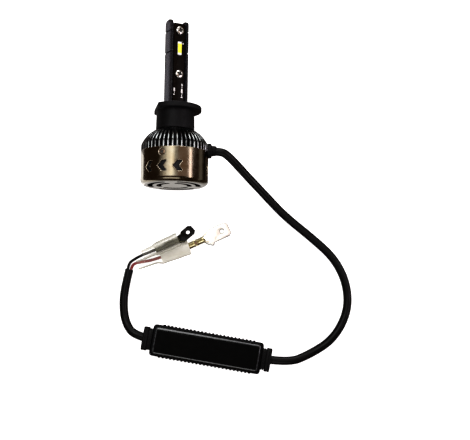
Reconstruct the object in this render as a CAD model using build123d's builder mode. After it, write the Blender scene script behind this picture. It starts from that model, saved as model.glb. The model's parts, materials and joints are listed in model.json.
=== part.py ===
from build123d import *
import os
from math import cos, pi, radians, sin, tan

# LED headlight bulb with an H1 style flange, a fan behind it, an inline driver and blade terminals.
# The origin is the centre of the flange's seat. +Y is the lamp axis, towards the LED tip, and +Z is up.
# The bulb lies on its side, so everything stands on the plane that touches the bottom of the fan shell.

os.makedirs("parts", exist_ok=True)

# ---------------------------------------------------------------------------------------------
# Driving dimensions, in millimetres and degrees
# ---------------------------------------------------------------------------------------------
shell_radius = 14.2
floor = -shell_radius

# Levels along the lamp axis
rail_tip = 37.6
board_top = 36.1
board_base = 1.5
led_centre = 25.0
lip_front = 1.3
lip_back = 0.05
flange_back = -2.1
fin_top = -10.24
collar_end = fin_top + 0.05
stem_end = -17.0
shell_top = -19.56
ring_end = -23.3
shell_bottom = -33.74

# Lamp core
core_roll = 30
core_width = 8.4
core_thickness = 5.9
rail_thickness = 1.15
rail_tip_radius = 2.0
web_thickness = 3.5
groove_levels = (32.6, 23.3)
groove_width = 0.5
groove_depth = 0.4
spigot_radius = 6.0
lip_radius = 6.35
stem_radius = 4.5
lead_spacing_u = 2.4
lead_spacing_n = 4.3
lead_radius = 0.4
lead_hole_radius = 0.55

# LED boards
board_width = 5.2
board_thickness = 0.8
led_width = 1.6
led_length = 5.6
led_base_thickness = 0.3
led_height = 0.5
phosphor_length = 4.1
screw_levels = (32.8, 13.7)
screw_head_radius = 1.7
screw_head_height = 1.0
screw_radius = 0.8
screw_depth = 1.3

# Mount collar
flange_radius = 11.05
flange_flat = 8.25
flange_flat_tilt = 11.5
neck_radius = 8.0
flange_chamfer = 0.35
neck_foot_radius = 8.15
collar_bore = spigot_radius + 0.05
relief_radius = 6.55
relief_depth = 0.2

# Heatsink
fin_count = 46
fin_root = 7.4
gland_pocket = 7.7
slot_width_root = 0.45
slot_width_rim = 1.2
ring_inner = 12.2
ring_outer = 13.35

# Fan shell
shell_wall = 0.8
shell_corner = 2.0
shell_inner = shell_radius - shell_wall
chevron_level = -27.5
chevron_middle = -17.7
chevron_pitch = 26.6
group_count = 3
shell_screw_level = -21.85
shell_screw_recess = 1.35
shell_screw_seat = 13.75
shell_screw_radius = 0.6
grille_rings = ((10.1, 2.0, 81), (6.4, 1.9, 84))
grille_bridge = -4

# Fan
frame_inner = 12.4
frame_end = -31.7
strut_top = -23.4
strut_bottom = -24.6
strut_width = 1.6
strut_turn = 40
centre_plate_radius = 5.2
tube_end = -28.9
tube_outer = 2.2
tube_inner = 1.5
circuit_radius = 5.0
circuit_thickness = 0.6
bearing_length = 3.8
shaft_top = -24.8
shaft_radius = 0.77
bearing_bore = 0.81
stator_top = -26.2
stator_height = 2.4
stator_core_radius = 2.9
stator_pole_turn = 45
coil_radius = 3.5
coil_width = 1.1
coil_overhang = 0.7
magnet_top = -26.0
magnet_length = 3.6
magnet_inner = 5.3
hub_radius = 6.6
hub_inner = 6.0
hub_top = -25.8
hub_bottom = -30.8
hub_wall = 0.8
boss_top = -29.2
boss_radius = 1.6
blade_count = 9
blade_tip = 11.9
blade_root = 6.1

# Cable gland
gland_level = -18.8
gland_lip = 10.2
gland_wall = 11.2
gland_seat = 13.8
gland_face = 15.5
gland_end = 17.6
gland_lip_radius = 3.0
gland_barrel_radius = 2.45
gland_flange_radius = 3.15
gland_sleeve_radius = 2.35
gland_sleeve_end_radius = 2.05
gland_fit = 0.05
gland_room = 0.1

# Cables and wires
cable_diameter = 3.6
wire_diameter = 1.3
corner_share = 0.45

# Driver
driver_centre = (14.34, -101.6)
driver_turn = -9.3
driver_length = 47.0
driver_width = 13.3
driver_wall = 1.2
driver_corner = 1.3
case_top = floor + 7.0
lid_top = floor + 8.6
lid_length = driver_length - 2.4
lid_width = driver_width - 2.2
driver_cable_level = floor + 4.0
rib_width = 0.8
rib_pitch = 1.6
rib_count = 25
rib_foot = 0.9
rib_head = 1.3
driver_board_length = 38
driver_board_thickness = 0.8
capacitor_radius = 2.4
capacitor_height = 4.2
inductor_size = (6, 6, 1.2)
inductor_height = 3.2
chip_size = (5, 4)
chip_height = 1.4
small_part_size = (1.6, 0.8)
small_part_pitch = (2.6, 2.4)
small_part_height = 0.6
boot_plug_radius = 2.45
boot_head_radius = 2.9
boot_head_length = 0.6
boot_waist = (9.0, 6.4, 1.6)
boot_waist_length = 1.7
boot_flange = (10.0, 7.2, 1.8)
boot_flange_length = 2.1

# Blade terminals and their sleeves
blade_thickness = 0.8
blade_tip_chamfer = 1.2
red_blade_width = 6.3
red_blade_end = 8.2
red_blade_hole = (4.7, 0.85)
red_barb = (-1.2, 0.95)
red_barrels = ((-11.0, 2.8), (-7.4, 3.4))
black_blade_width = 4.8
black_blade_end = 4.1
black_blade_hole = (1.2, 0.8)
black_blade_turn = 17
black_barrels = ((-14.6, 3.2), (-10.2, 6.2))
barrel_radius = 1.5
barrel_end = -4.0
neck_bend = -3.4
spine_width = 1.6
seam_width = 0.3
wire_end = -4.2
sleeve_width = 6.4
sleeve_height = 4.6
sleeve_wall = 0.3
sleeve_neck_width = 4.2
sleeve_neck_height = 3.8
sleeve_taper = 3.0


# ---------------------------------------------------------------------------------------------
# Planes and shared shapes
# ---------------------------------------------------------------------------------------------
roll = radians(core_roll)
core_across = Vector(cos(roll), 0, -sin(roll))
core_normal = Vector(sin(roll), 0, cos(roll))


def across(level):
    """Plane square to the lamp axis. Local x is +X, local y is +Z, and it faces -Y."""
    return Plane(origin=(0, level, 0), x_dir=(1, 0, 0), z_dir=(0, -1, 0))


def core_plane(level):
    """Plane square to the lamp axis, turned with the lamp core, facing -Y."""
    return Plane(origin=(0, level, 0), x_dir=core_across, z_dir=(0, -1, 0))


def board_face(side, out, level=0):
    """Plane parallel to the LED boards, facing outward. Local y is +Y. The front side is 1."""
    place = core_normal * (side * out) + Vector(0, level, 0)
    return Plane(origin=place, x_dir=core_across * side, z_dir=core_normal * side)


def rail_face(side):
    """Outer face of one of the core's side rails, facing outward. Local y is +Y."""
    place = core_across * (side * core_width / 2)
    return Plane(origin=place, x_dir=core_normal * -side, z_dir=core_across * side)


def radial_plane(angle, radius, level=0):
    """Plane that faces outward at an angle from +Z towards +X. Local y is +Y."""
    out = Vector(sin(radians(angle)), 0, cos(radians(angle)))
    along = Vector(cos(radians(angle)), 0, -sin(radians(angle)))
    return Plane(origin=out * radius + Vector(0, level, 0), x_dir=along, z_dir=out)


def gland_plane(x):
    """Plane square to the cable gland's axis, facing +X. Local x is +Y."""
    return Plane(origin=(x, gland_level, 0), x_dir=(0, 1, 0), z_dir=(1, 0, 0))


def disc(plane, radius, depth, mode=Mode.ADD):
    """Round bar or hole that starts on a plane and goes the way the plane faces."""
    with BuildSketch(plane) as outline:
        Circle(radius)
    extrude(outline.sketch, amount=depth, mode=mode)


def pan_screw(plane, head, head_height, shank, shank_length):
    """Pan head screw with a cross recess. The head sits on the plane."""
    disc(plane, head, head_height / 2)
    with BuildSketch(plane.offset(head_height / 2)) as crown:
        Circle(head)
    extrude(crown.sketch, amount=head_height / 2, taper=35)
    with BuildSketch(plane.offset(head_height)) as recess:
        Rectangle(head, head / 4)
        Rectangle(head / 4, head)
    extrude(recess.sketch, amount=-head_height / 2, mode=Mode.SUBTRACT)
    disc(plane, shank, -shank_length)


def corner_radii(route):
    """Largest arcs that the runs on each side of every corner allow."""
    radii = []
    for before, here, after in zip(route, route[1:], route[2:]):
        run_in = Vector(*here) - Vector(*before)
        run_out = Vector(*after) - Vector(*here)
        half_turn = radians(run_in.get_angle(run_out)) / 2
        radii.append(corner_share * min(run_in.length, run_out.length) / tan(half_turn))
    return radii


def tube(route, diameter):
    """Round section swept along straight runs joined by tangent arcs. Returns its length."""
    with BuildLine() as path:
        FilletPolyline(*route, radius=corner_radii(route))
    centreline = path.wire()
    with BuildSketch(Plane(origin=centreline @ 0, z_dir=centreline % 0)) as section:
        Circle(diameter / 2)
    sweep(section.sketch, path=centreline)
    return centreline.length


# ---------------------------------------------------------------------------------------------
# Lamp core and LED boards
# ---------------------------------------------------------------------------------------------
web_half = web_thickness / 2
board_out = web_half + board_thickness

with BuildPart() as lamp_core:
    disc(across(lip_front), lip_radius, lip_front - lip_back)
    disc(across(lip_back), spigot_radius, lip_back - fin_top)
    disc(across(fin_top), stem_radius, fin_top - stem_end)
    with BuildSketch(core_plane(board_top)):
        Rectangle(core_width - rail_thickness, web_thickness)
    extrude(amount=board_top - lip_front)
    for side in (1, -1):
        with BuildSketch(rail_face(side)) as rail_profile:
            with Locations((0, (rail_tip + lip_front) / 2)):
                Rectangle(core_thickness, rail_tip - lip_front)
            fillet(rail_profile.vertices().group_by(Axis.Y)[-1], rail_tip_radius)
        extrude(amount=-rail_thickness)
        with BuildSketch(rail_face(side)):
            with Locations(*[(0, level) for level in groove_levels]):
                Rectangle(core_thickness + 1, groove_width)
        extrude(amount=-groove_depth, mode=Mode.SUBTRACT)
        for level in screw_levels:
            disc(board_face(side, web_half, level), screw_radius, -screw_depth, Mode.SUBTRACT)
    with BuildSketch(core_plane(lip_front)):
        with GridLocations(lead_spacing_u, lead_spacing_n, 2, 2):
            Circle(lead_hole_radius)
    extrude(amount=lip_front - stem_end, mode=Mode.SUBTRACT)


def led_board(side):
    """Long narrow board in the channel between the rails, with two screw holes."""
    with BuildSketch(board_face(side, web_half)) as outline:
        with Locations((0, (board_top + board_base) / 2)):
            Rectangle(board_width, board_top - board_base)
        with Locations(*[(0, level) for level in screw_levels]):
            Circle(screw_radius, mode=Mode.SUBTRACT)
    extrude(outline.sketch, amount=board_thickness)


def led_package(side):
    """Ceramic base with a raised block at each end, and a bed for the phosphor between them."""
    with BuildSketch(board_face(side, board_out, led_centre)) as outline:
        Rectangle(led_width, led_length)
    extrude(outline.sketch, amount=led_height)
    with BuildSketch(board_face(side, board_out + led_base_thickness, led_centre)) as bed:
        Rectangle(led_width, phosphor_length)
    extrude(bed.sketch, amount=led_height, mode=Mode.SUBTRACT)


def phosphor_block(side):
    """Yellow phosphor over the row of dies."""
    with BuildSketch(board_face(side, board_out + led_base_thickness, led_centre)) as outline:
        Rectangle(led_width, phosphor_length)
    extrude(outline.sketch, amount=led_height - led_base_thickness)


with BuildPart() as led_board_front:
    led_board(1)

with BuildPart() as led_board_back:
    led_board(-1)

with BuildPart() as led_package_front:
    led_package(1)

with BuildPart() as led_package_back:
    led_package(-1)

with BuildPart() as led_phosphor_front:
    phosphor_block(1)

with BuildPart() as led_phosphor_back:
    phosphor_block(-1)

with BuildPart() as board_screws:
    for side in (1, -1):
        for level in screw_levels:
            seat = board_face(side, board_out, level)
            pan_screw(seat, screw_head_radius, screw_head_height, screw_radius, board_thickness + screw_depth)

# ---------------------------------------------------------------------------------------------
# Mount collar: a flange with one flat, on a neck that turns on the lamp core's spigot.
# A shallow relief round the bore keeps the seat clear of the core's lip.
# ---------------------------------------------------------------------------------------------
with BuildPart() as mount_collar:
    with BuildSketch(Plane.XY) as collar_profile:
        Polygon(
            (collar_bore, -relief_depth),
            (relief_radius, -relief_depth),
            (relief_radius, 0),
            (flange_radius, 0),
            (flange_radius, flange_back),
            (neck_radius, flange_back),
            (neck_foot_radius, collar_end),
            (collar_bore, collar_end),
            align=None,
        )
        chamfer(collar_profile.vertices().group_by(Axis.X)[-1], flange_chamfer)
    revolve(axis=Axis.Y)
    tilt = radians(flange_flat_tilt)
    with BuildSketch(Plane(origin=(0, 0.5, 0), x_dir=(-cos(tilt), 0, sin(tilt)), z_dir=(0, -1, 0))):
        with Locations((flange_flat + flange_radius / 2, 0)):
            Rectangle(flange_radius, 2 * flange_radius)
    extrude(amount=0.5 - flange_back, mode=Mode.SUBTRACT)

# ---------------------------------------------------------------------------------------------
# Heatsink: radial fins round a solid core, with a ring below that the fan shell slips over
# ---------------------------------------------------------------------------------------------
with BuildPart() as heatsink:
    with BuildSketch(Plane.XY):
        with BuildLine():
            Polyline((0, shell_top), (0, fin_top), (neck_radius - 0.1, fin_top))
            ThreePointArc((neck_radius - 0.1, fin_top), (11.9, -13.2), (shell_radius, -17.0))
            Polyline((shell_radius, -17.0), (shell_radius, shell_top), (0, shell_top))
        make_face()
    revolve(axis=Axis.Y)
    with BuildSketch(across(fin_top)):
        with PolarLocations(0, fin_count):
            Polygon(
                (fin_root, -slot_width_root / 2),
                (shell_radius + 1, -slot_width_rim / 2),
                (shell_radius + 1, slot_width_rim / 2),
                (fin_root, slot_width_root / 2),
                align=None,
            )
    extrude(amount=fin_top - shell_top, mode=Mode.SUBTRACT)
    with BuildSketch(across(shell_top)):
        Circle(ring_outer)
        Circle(ring_inner, mode=Mode.SUBTRACT)
    extrude(amount=shell_top - ring_end)
    disc(across(fin_top), stem_radius, fin_top - stem_end, Mode.SUBTRACT)
    with BuildSketch(core_plane(stem_end)):
        with GridLocations(lead_spacing_u, lead_spacing_n, 2, 2):
            Circle(lead_hole_radius)
    extrude(amount=stem_end - shell_top, mode=Mode.SUBTRACT)
    disc(gland_plane(gland_pocket), gland_lip_radius + gland_room, gland_wall - gland_pocket, Mode.SUBTRACT)
    disc(gland_plane(gland_wall), gland_barrel_radius + gland_fit, shell_radius, Mode.SUBTRACT)
    disc(gland_plane(gland_seat), gland_flange_radius + gland_room, shell_radius, Mode.SUBTRACT)
    for group in range(group_count):
        screw_axis = radial_plane(chevron_middle + 360 / group_count * group, shell_radius, shell_screw_level)
        disc(screw_axis, shell_screw_radius, -3, Mode.SUBTRACT)

# ---------------------------------------------------------------------------------------------
# Fan shell: a cup with chevron vents round its wall and slotted rings in its end
# ---------------------------------------------------------------------------------------------
grille_arcs = []
for ring_radius, slot_width, slot_span in grille_rings:
    for group in range(group_count):
        slot_middle = 90 - grille_bridge + 60 + 360 / group_count * group
        arc = CenterArc((0, 0), ring_radius, slot_middle - slot_span / 2, slot_span)
        grille_arcs.append((arc, slot_width))

with BuildPart() as fan_shell:
    disc(across(shell_top), shell_radius, shell_top - shell_bottom)
    fillet(fan_shell.edges().filter_by(GeomType.CIRCLE).sort_by(Axis.Y)[0], shell_corner)
    offset(amount=-shell_wall, openings=fan_shell.faces().sort_by(Axis.Y)[-1])
    with BuildSketch(across(shell_bottom + 2 * shell_wall)):
        for arc, slot_width in grille_arcs:
            SlotArc(arc, slot_width)
    extrude(amount=3 * shell_wall, mode=Mode.SUBTRACT)
    for group in range(group_count):
        middle = chevron_middle + 360 / group_count * group
        for step in (-1, 0, 1):
            with BuildSketch(radial_plane(middle + step * chevron_pitch, shell_inner - 1, chevron_level)):
                Polygon(
                    (-2.0, 0),
                    (0, 2.25),
                    (1.7, 2.25),
                    (2.0, 1.9),
                    (0.6, 0),
                    (2.0, -1.9),
                    (1.7, -2.25),
                    (0, -2.25),
                    align=None,
                )
            extrude(amount=3, mode=Mode.SUBTRACT)
        screw_hole_start = radial_plane(middle, shell_inner - 1, shell_screw_level)
        disc(screw_hole_start, shell_screw_radius + 0.1, 3, Mode.SUBTRACT)
        disc(radial_plane(middle, shell_screw_seat, shell_screw_level), shell_screw_recess, 3, Mode.SUBTRACT)
    disc(gland_plane(gland_wall), gland_barrel_radius + gland_fit, shell_radius, Mode.SUBTRACT)
    disc(gland_plane(gland_seat), gland_flange_radius + gland_room, shell_radius, Mode.SUBTRACT)

with BuildPart() as shell_screws:
    for group in range(group_count):
        seat = radial_plane(chevron_middle + 360 / group_count * group, shell_screw_seat, shell_screw_level)
        pan_screw(seat, shell_screw_recess - 0.1, 0.3, shell_screw_radius, 1.4)

# ---------------------------------------------------------------------------------------------
# Fan: frame, circuit board, stator, coils, bearing, and the parts that turn
# ---------------------------------------------------------------------------------------------
with BuildPart() as fan_frame:
    with BuildSketch(across(ring_end)):
        Circle(shell_inner)
        Circle(frame_inner, mode=Mode.SUBTRACT)
    extrude(amount=ring_end - frame_end)
    with BuildSketch(across(strut_top)):
        Circle(centre_plate_radius)
        with PolarLocations((frame_inner + centre_plate_radius) / 2, 3, start_angle=strut_turn):
            Rectangle(frame_inner - centre_plate_radius + 1, strut_width)
    extrude(amount=strut_top - strut_bottom)
    with BuildSketch(across(strut_bottom)):
        Circle(tube_outer)
        Circle(tube_inner, mode=Mode.SUBTRACT)
    extrude(amount=strut_bottom - tube_end)

with BuildPart() as fan_circuit_board:
    with BuildSketch(across(strut_bottom)):
        Circle(circuit_radius)
        Circle(tube_outer, mode=Mode.SUBTRACT)
    extrude(amount=circuit_thickness)

with BuildPart() as fan_bearing:
    with BuildSketch(across(strut_bottom - 0.4)):
        Circle(tube_inner)
        Circle(bearing_bore, mode=Mode.SUBTRACT)
    extrude(amount=bearing_length)

with BuildPart() as fan_stator:
    with BuildSketch(across(stator_top)):
        Circle(stator_core_radius)
        with PolarLocations(coil_radius - 0.1, 4, start_angle=stator_pole_turn):
            Rectangle(2.4, 1.4)
        with PolarLocations(coil_radius + 0.9, 4, start_angle=stator_pole_turn):
            Rectangle(0.6, 3.2)
        Circle(tube_outer, mode=Mode.SUBTRACT)
    extrude(amount=stator_height)

with BuildPart() as fan_coils:
    with BuildSketch(across(stator_top + coil_overhang)):
        with PolarLocations(coil_radius, 4, start_angle=stator_pole_turn):
            Rectangle(coil_width, 2.6)
    extrude(amount=stator_height + 2 * coil_overhang)
    with BuildSketch(across(stator_top)):
        with PolarLocations(coil_radius, 4, start_angle=stator_pole_turn):
            Rectangle(coil_width, 1.4)
    extrude(amount=stator_height, mode=Mode.SUBTRACT)

with BuildPart() as fan_shaft:
    disc(across(shaft_top), shaft_radius, shaft_top - hub_bottom)

with BuildPart() as fan_magnet:
    with BuildSketch(across(magnet_top)):
        Circle(hub_inner)
        Circle(magnet_inner, mode=Mode.SUBTRACT)
    extrude(amount=magnet_length)

with BuildPart() as fan_impeller:
    disc(across(hub_top), hub_radius, hub_top - hub_bottom)
    disc(across(hub_top), hub_inner, hub_top - hub_bottom - hub_wall, Mode.SUBTRACT)
    disc(across(boss_top), boss_radius, boss_top - hub_bottom)
    disc(across(boss_top), shaft_radius, boss_top - hub_bottom, Mode.SUBTRACT)
    for blade in range(blade_count):
        with BuildSketch(radial_plane(360 / blade_count * blade, blade_root)):
            Polygon(
                (-1.9, hub_bottom + 0.1),
                (-1.2, hub_bottom + 0.1),
                (1.9, hub_top - 0.1),
                (1.2, hub_top - 0.1),
                align=None,
            )
        extrude(amount=blade_tip - blade_root)

# ---------------------------------------------------------------------------------------------
# Wires inside the lamp, from the boards through the core to the cable
# ---------------------------------------------------------------------------------------------
cable_inner_end = 11.0
lead_turn_level = -21.3
lead_rows = ((1, 1, 0.45), (-1, 1, 1.35), (1, -1, -1.35), (-1, -1, -0.45))

with BuildPart() as led_leads:
    for u_side, n_side, z_at_gland in lead_rows:
        foot = core_across * (u_side * lead_spacing_u / 2) + core_normal * (n_side * lead_spacing_n / 2)
        lead_route = [
            (foot.X, board_base, foot.Z),
            (foot.X, lead_turn_level, foot.Z),
            (6.8, lead_turn_level, z_at_gland),
            (9.2, gland_level, z_at_gland),
            (cable_inner_end, gland_level, z_at_gland),
        ]
        with BuildLine() as lead_path:
            FilletPolyline(*lead_route, radius=[1.0, 0.6, 0.6])
        with BuildSketch(Plane(origin=lead_path.line @ 0, z_dir=lead_path.line % 0)):
            Circle(lead_radius)
        sweep(path=lead_path.line)

# ---------------------------------------------------------------------------------------------
# Cable gland, and the cable from the lamp to the driver
# ---------------------------------------------------------------------------------------------
with BuildPart() as cable_gland:
    with BuildSketch(Plane(origin=(0, gland_level, 0), x_dir=(1, 0, 0), z_dir=(0, 0, 1))):
        Polygon(
            (gland_lip, cable_diameter / 2),
            (gland_lip, gland_lip_radius),
            (gland_wall, gland_lip_radius),
            (gland_wall, gland_barrel_radius),
            (gland_seat, gland_barrel_radius),
            (gland_seat, gland_flange_radius),
            (gland_face - 0.3, gland_flange_radius),
            (gland_face, gland_flange_radius - 0.3),
            (gland_face, gland_sleeve_radius),
            (gland_end, gland_sleeve_end_radius),
            (gland_end, cable_diameter / 2),
            align=None,
        )
    revolve(axis=Axis((0, gland_level, 0), (1, 0, 0)))

driver_along = Vector(cos(radians(driver_turn)), sin(radians(driver_turn)), 0)
driver_across = Vector(-driver_along.Y, driver_along.X, 0)


def driver_point(along, over, level):
    """Point in the driver's own directions: along its length, over its width, at a level."""
    place = Vector(driver_centre[0], driver_centre[1], level)
    return tuple(place + driver_along * along + driver_across * over)


cable_level = floor + cable_diameter / 2
driver_inner_end = 20.5

lamp_cable_route = [
    (cable_inner_end, gland_level, 0),
    (19.4, gland_level, 0),
    (22.4, -20.4, -1.2),
    (26.0, -23.6, -3.8),
    (30.6, -28.0, -7.4),
    (38.2, -35.2, -11.6),
    (47.0, -44.4, cable_level),
    (58.8, -53.8, cable_level),
    (68.4, -62.4, cable_level),
    (73.8, -73.2, cable_level),
    (74.3, -85.2, cable_level),
    (68.0, -97.0, cable_level),
    (57.6, -103.6, cable_level),
    driver_point(34.4, 0, driver_cable_level),
    driver_point(driver_inner_end, 0, driver_cable_level),
]

with BuildPart() as lamp_cable:
    lamp_cable_length = tube(lamp_cable_route, cable_diameter)

# ---------------------------------------------------------------------------------------------
# Driver: case, lid, circuit board with its components, and a boot at each end
# ---------------------------------------------------------------------------------------------
def driver_plane(level):
    """Horizontal plane with its x along the driver."""
    return Plane(origin=driver_point(0, 0, level), x_dir=driver_along, z_dir=(0, 0, 1))


def driver_end(side, along):
    """Plane square to the driver at its cable level, facing out of one end. Local y is up."""
    place = driver_point(side * along, 0, driver_cable_level)
    return Plane(origin=place, x_dir=driver_across * side, z_dir=driver_along * side)


end_wall = driver_length / 2 - driver_wall
cavity_floor = floor + 1.0
board_level = cavity_floor + 0.6
board_surface = board_level + driver_board_thickness

with BuildPart() as driver_case:
    with BuildSketch(driver_plane(floor)):
        RectangleRounded(driver_length, driver_width, driver_corner)
    extrude(amount=case_top - floor)
    chamfer(driver_case.faces().sort_by(Axis.Z)[-1].edges(), 0.7)
    chamfer(driver_case.faces().sort_by(Axis.Z)[0].edges(), 0.4)
    with BuildSketch(driver_plane(floor + rib_foot)):
        with GridLocations(rib_pitch, driver_width, rib_count, 2):
            Rectangle(rib_width, rib_width)
    extrude(amount=case_top - floor - rib_foot - rib_head)
    with BuildSketch(driver_plane(cavity_floor)):
        RectangleRounded(2 * end_wall, driver_width - 2 * driver_wall, 0.6)
    extrude(amount=case_top - cavity_floor, mode=Mode.SUBTRACT)
    with BuildSketch(driver_plane(cavity_floor)):
        with GridLocations(30, 0, 2, 1):
            Rectangle(1.2, driver_width - 2 * driver_wall)
    extrude(amount=board_level - cavity_floor)
    for side in (1, -1):
        disc(driver_end(side, end_wall - 0.3), boot_plug_radius + 0.05, 2, Mode.SUBTRACT)

with BuildPart() as driver_lid:
    with BuildSketch(driver_plane(case_top)):
        RectangleRounded(lid_length, lid_width, driver_corner - 0.2)
    extrude(amount=lid_top - case_top)
    fillet(driver_lid.faces().sort_by(Axis.Z)[-1].edges(), 0.6)
    with BuildSketch(driver_plane(case_top)):
        with GridLocations(0, driver_width - 2 * driver_wall - 0.9, 1, 2):
            Rectangle(36, 0.8)
    extrude(amount=-1.2)

with BuildPart() as driver_board:
    with BuildSketch(driver_plane(board_level)):
        Rectangle(driver_board_length, driver_width - 2 * driver_wall - 0.6)
    extrude(amount=board_surface - board_level)

with BuildPart() as driver_capacitor:
    with BuildSketch(driver_plane(board_surface)):
        with Locations((-11.5, 0)):
            Circle(capacitor_radius)
    extrude(amount=capacitor_height)
    fillet(driver_capacitor.edges().filter_by(GeomType.CIRCLE).sort_by(Axis.Z)[-1], 0.4)

with BuildPart() as driver_inductor:
    with BuildSketch(driver_plane(board_surface)):
        with Locations((-3.5, 0)):
            RectangleRounded(*inductor_size)
    extrude(amount=inductor_height)

with BuildPart() as driver_chip:
    with BuildSketch(driver_plane(board_surface)):
        with Locations((5, 0)):
            Rectangle(*chip_size)
    extrude(amount=chip_height)

with BuildPart() as driver_small_parts:
    with BuildSketch(driver_plane(board_surface)):
        with Locations((12.5, 0)):
            with GridLocations(*small_part_pitch, 3, 3):
                Rectangle(*small_part_size)
    extrude(amount=small_part_height)

with BuildPart() as driver_leads:
    for side in (1, -1):
        for over in (0.8, -0.8):
            lead_route = [
                driver_point(side * driver_inner_end, over, driver_cable_level),
                driver_point(side * (driver_inner_end - 2.2), over, driver_cable_level),
                driver_point(side * (driver_inner_end - 2.2), over, board_surface),
            ]
            with BuildLine() as lead_path:
                FilletPolyline(*lead_route, radius=0.8)
            with BuildSketch(Plane(origin=lead_path.line @ 0, z_dir=lead_path.line % 0)):
                Circle(0.45)
            sweep(path=lead_path.line)


def driver_boot(side):
    """Soft boot that plugs into the end wall, with a waist and a flange outside it."""
    disc(driver_end(side, end_wall - boot_head_length), boot_head_radius, boot_head_length)
    disc(driver_end(side, end_wall), boot_plug_radius, driver_wall)
    with BuildSketch(driver_end(side, driver_length / 2)) as waist:
        RectangleRounded(*boot_waist)
    extrude(waist.sketch, amount=boot_waist_length)
    with BuildSketch(driver_end(side, driver_length / 2 + boot_waist_length)) as flange:
        RectangleRounded(*boot_flange)
    extrude(flange.sketch, amount=boot_flange_length)
    disc(driver_end(side, end_wall - 1), cable_diameter / 2, 7, Mode.SUBTRACT)


with BuildPart() as driver_boot_lamp:
    driver_boot(1)

with BuildPart() as driver_boot_supply:
    driver_boot(-1)

# ---------------------------------------------------------------------------------------------
# Supply cable, its two wires, and a blade terminal in a clear sleeve on each
# ---------------------------------------------------------------------------------------------
supply_cable_route = [
    driver_point(-driver_inner_end, 0, driver_cable_level),
    driver_point(-30.8, 0, driver_cable_level),
    (-20.4, -91.0, cable_level),
    (-21.6, -83.4, cable_level),
    (-21.0, -75.6, cable_level),
    (-19.3, -68.2, cable_level),
]

with BuildPart() as supply_cable:
    supply_cable_length = tube(supply_cable_route, cable_diameter)


def heading_frame(origin, heading, pitch, lean):
    """Plane with x along a heading in the horizontal plane, pitched up, and leaning over to its left."""
    turn, rise, over = radians(heading), radians(pitch), radians(lean)
    ahead = Vector(cos(turn) * cos(rise), sin(turn) * cos(rise), sin(rise))
    left = Vector(-sin(turn), cos(turn), 0)
    up = ahead.cross(left)
    return Plane(origin=origin, x_dir=ahead, z_dir=up * cos(over) + left * sin(over))


def along_frame(frame, distance):
    """Plane square to a frame's x at a distance along it, facing ahead. Local x is its left."""
    place = frame.origin + frame.x_dir * distance
    return Plane(origin=place, x_dir=frame.y_dir, z_dir=frame.x_dir)


red_terminal_frame = heading_frame((15.9, -53.3, -12.5), 25.5, -4, 0)
black_terminal_frame = heading_frame((5.28, -53.91, -7.6), 25, 0, 15)
red_sleeve_frame = heading_frame((6.2, -58.4, floor + sleeve_height / 2), 20, 0, 0)
black_sleeve_frame = heading_frame((1.7, -55.5, -7.6), 25, 0, 40)


def bent_frame(frame, angle):
    """Frame turned in its own plane, as a terminal is when its neck is bent sideways."""
    neck = frame.origin + frame.x_dir * neck_bend
    ahead = frame.x_dir * cos(radians(angle)) + frame.y_dir * sin(radians(angle))
    return Plane(origin=neck - ahead * neck_bend, x_dir=ahead, z_dir=frame.z_dir)


def flat_blade(frame, width, end, hole, barb):
    """Flat blade with a hole, its shoulders and its neck, and a barb on one side if it has one."""
    half = width / 2
    with BuildSketch(frame.offset(-0.9)) as blade:
        Polygon(
            (-2.8, -half),
            (end - blade_tip_chamfer, -half),
            (end, 1.0 - half),
            (end, half - 1.0),
            (end - blade_tip_chamfer, half),
            (-1.0, half),
            (-1.8, 0.7 * half),
            (-4.2, 1.4),
            (-4.2, -1.4),
            align=None,
        )
        if barb:
            barb_level, barb_radius = barb
            with Locations((barb_level, -half)):
                Circle(barb_radius)
        hole_level, hole_radius = hole
        with Locations((hole_level, 0)):
            Circle(hole_radius, mode=Mode.SUBTRACT)
    extrude(blade.sketch, amount=blade_thickness)


def wire_crimp(frame, barrels):
    """Two barrels rolled round the wire, on a spine that runs to the blade's neck."""
    start = barrels[0][0]
    with BuildSketch(frame.offset(-1.5)) as spine:
        with Locations(((start + neck_bend) / 2, 0)):
            Rectangle(neck_bend - start, spine_width)
    extrude(spine.sketch, amount=blade_thickness)
    for barrel_start, length in barrels:
        disc(along_frame(frame, barrel_start), barrel_radius, length)
    bore_start = along_frame(frame, start - 1)
    disc(bore_start, wire_diameter / 2 + 0.05, barrel_end - start + 1, Mode.SUBTRACT)
    with BuildSketch(frame) as seam:
        with Locations(((start + barrel_end) / 2, 0)):
            Rectangle(barrel_end - start, seam_width)
    extrude(seam.sketch, amount=2, mode=Mode.SUBTRACT)


def sleeve_solid(frame, body, neck, shrink):
    """Flattened tube that tapers to a neck, smaller all round by a shrinkage."""
    width, height = sleeve_width - 2 * shrink, sleeve_height - 2 * shrink
    neck_width, neck_height = sleeve_neck_width - 2 * shrink, sleeve_neck_height - 2 * shrink
    stretch = 0.5 if shrink else 0
    with BuildSketch(along_frame(frame, -body)) as wide:
        RectangleRounded(width, height, height / 2 - 0.01)
    extrude(wide.sketch, amount=body + stretch)
    with BuildSketch(along_frame(frame, -body - sleeve_taper)) as narrow:
        RectangleRounded(neck_width, neck_height, neck_height / 2 - 0.01)
    loft([narrow.sketch, wide.sketch])
    extrude(narrow.sketch, amount=-neck - stretch)


with BuildPart() as black_sleeve_core:
    sleeve_solid(black_sleeve_frame, 9.5, 4.0, sleeve_wall)

with BuildPart() as black_sleeve:
    sleeve_solid(black_sleeve_frame, 9.5, 4.0, 0)
    add(black_sleeve_core.part, mode=Mode.SUBTRACT)

with BuildPart() as red_sleeve_core:
    sleeve_solid(red_sleeve_frame, 12.5, 8.0, sleeve_wall)

with BuildPart() as red_sleeve:
    sleeve_solid(red_sleeve_frame, 12.5, 8.0, 0)
    add(red_sleeve_core.part, mode=Mode.SUBTRACT)

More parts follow.
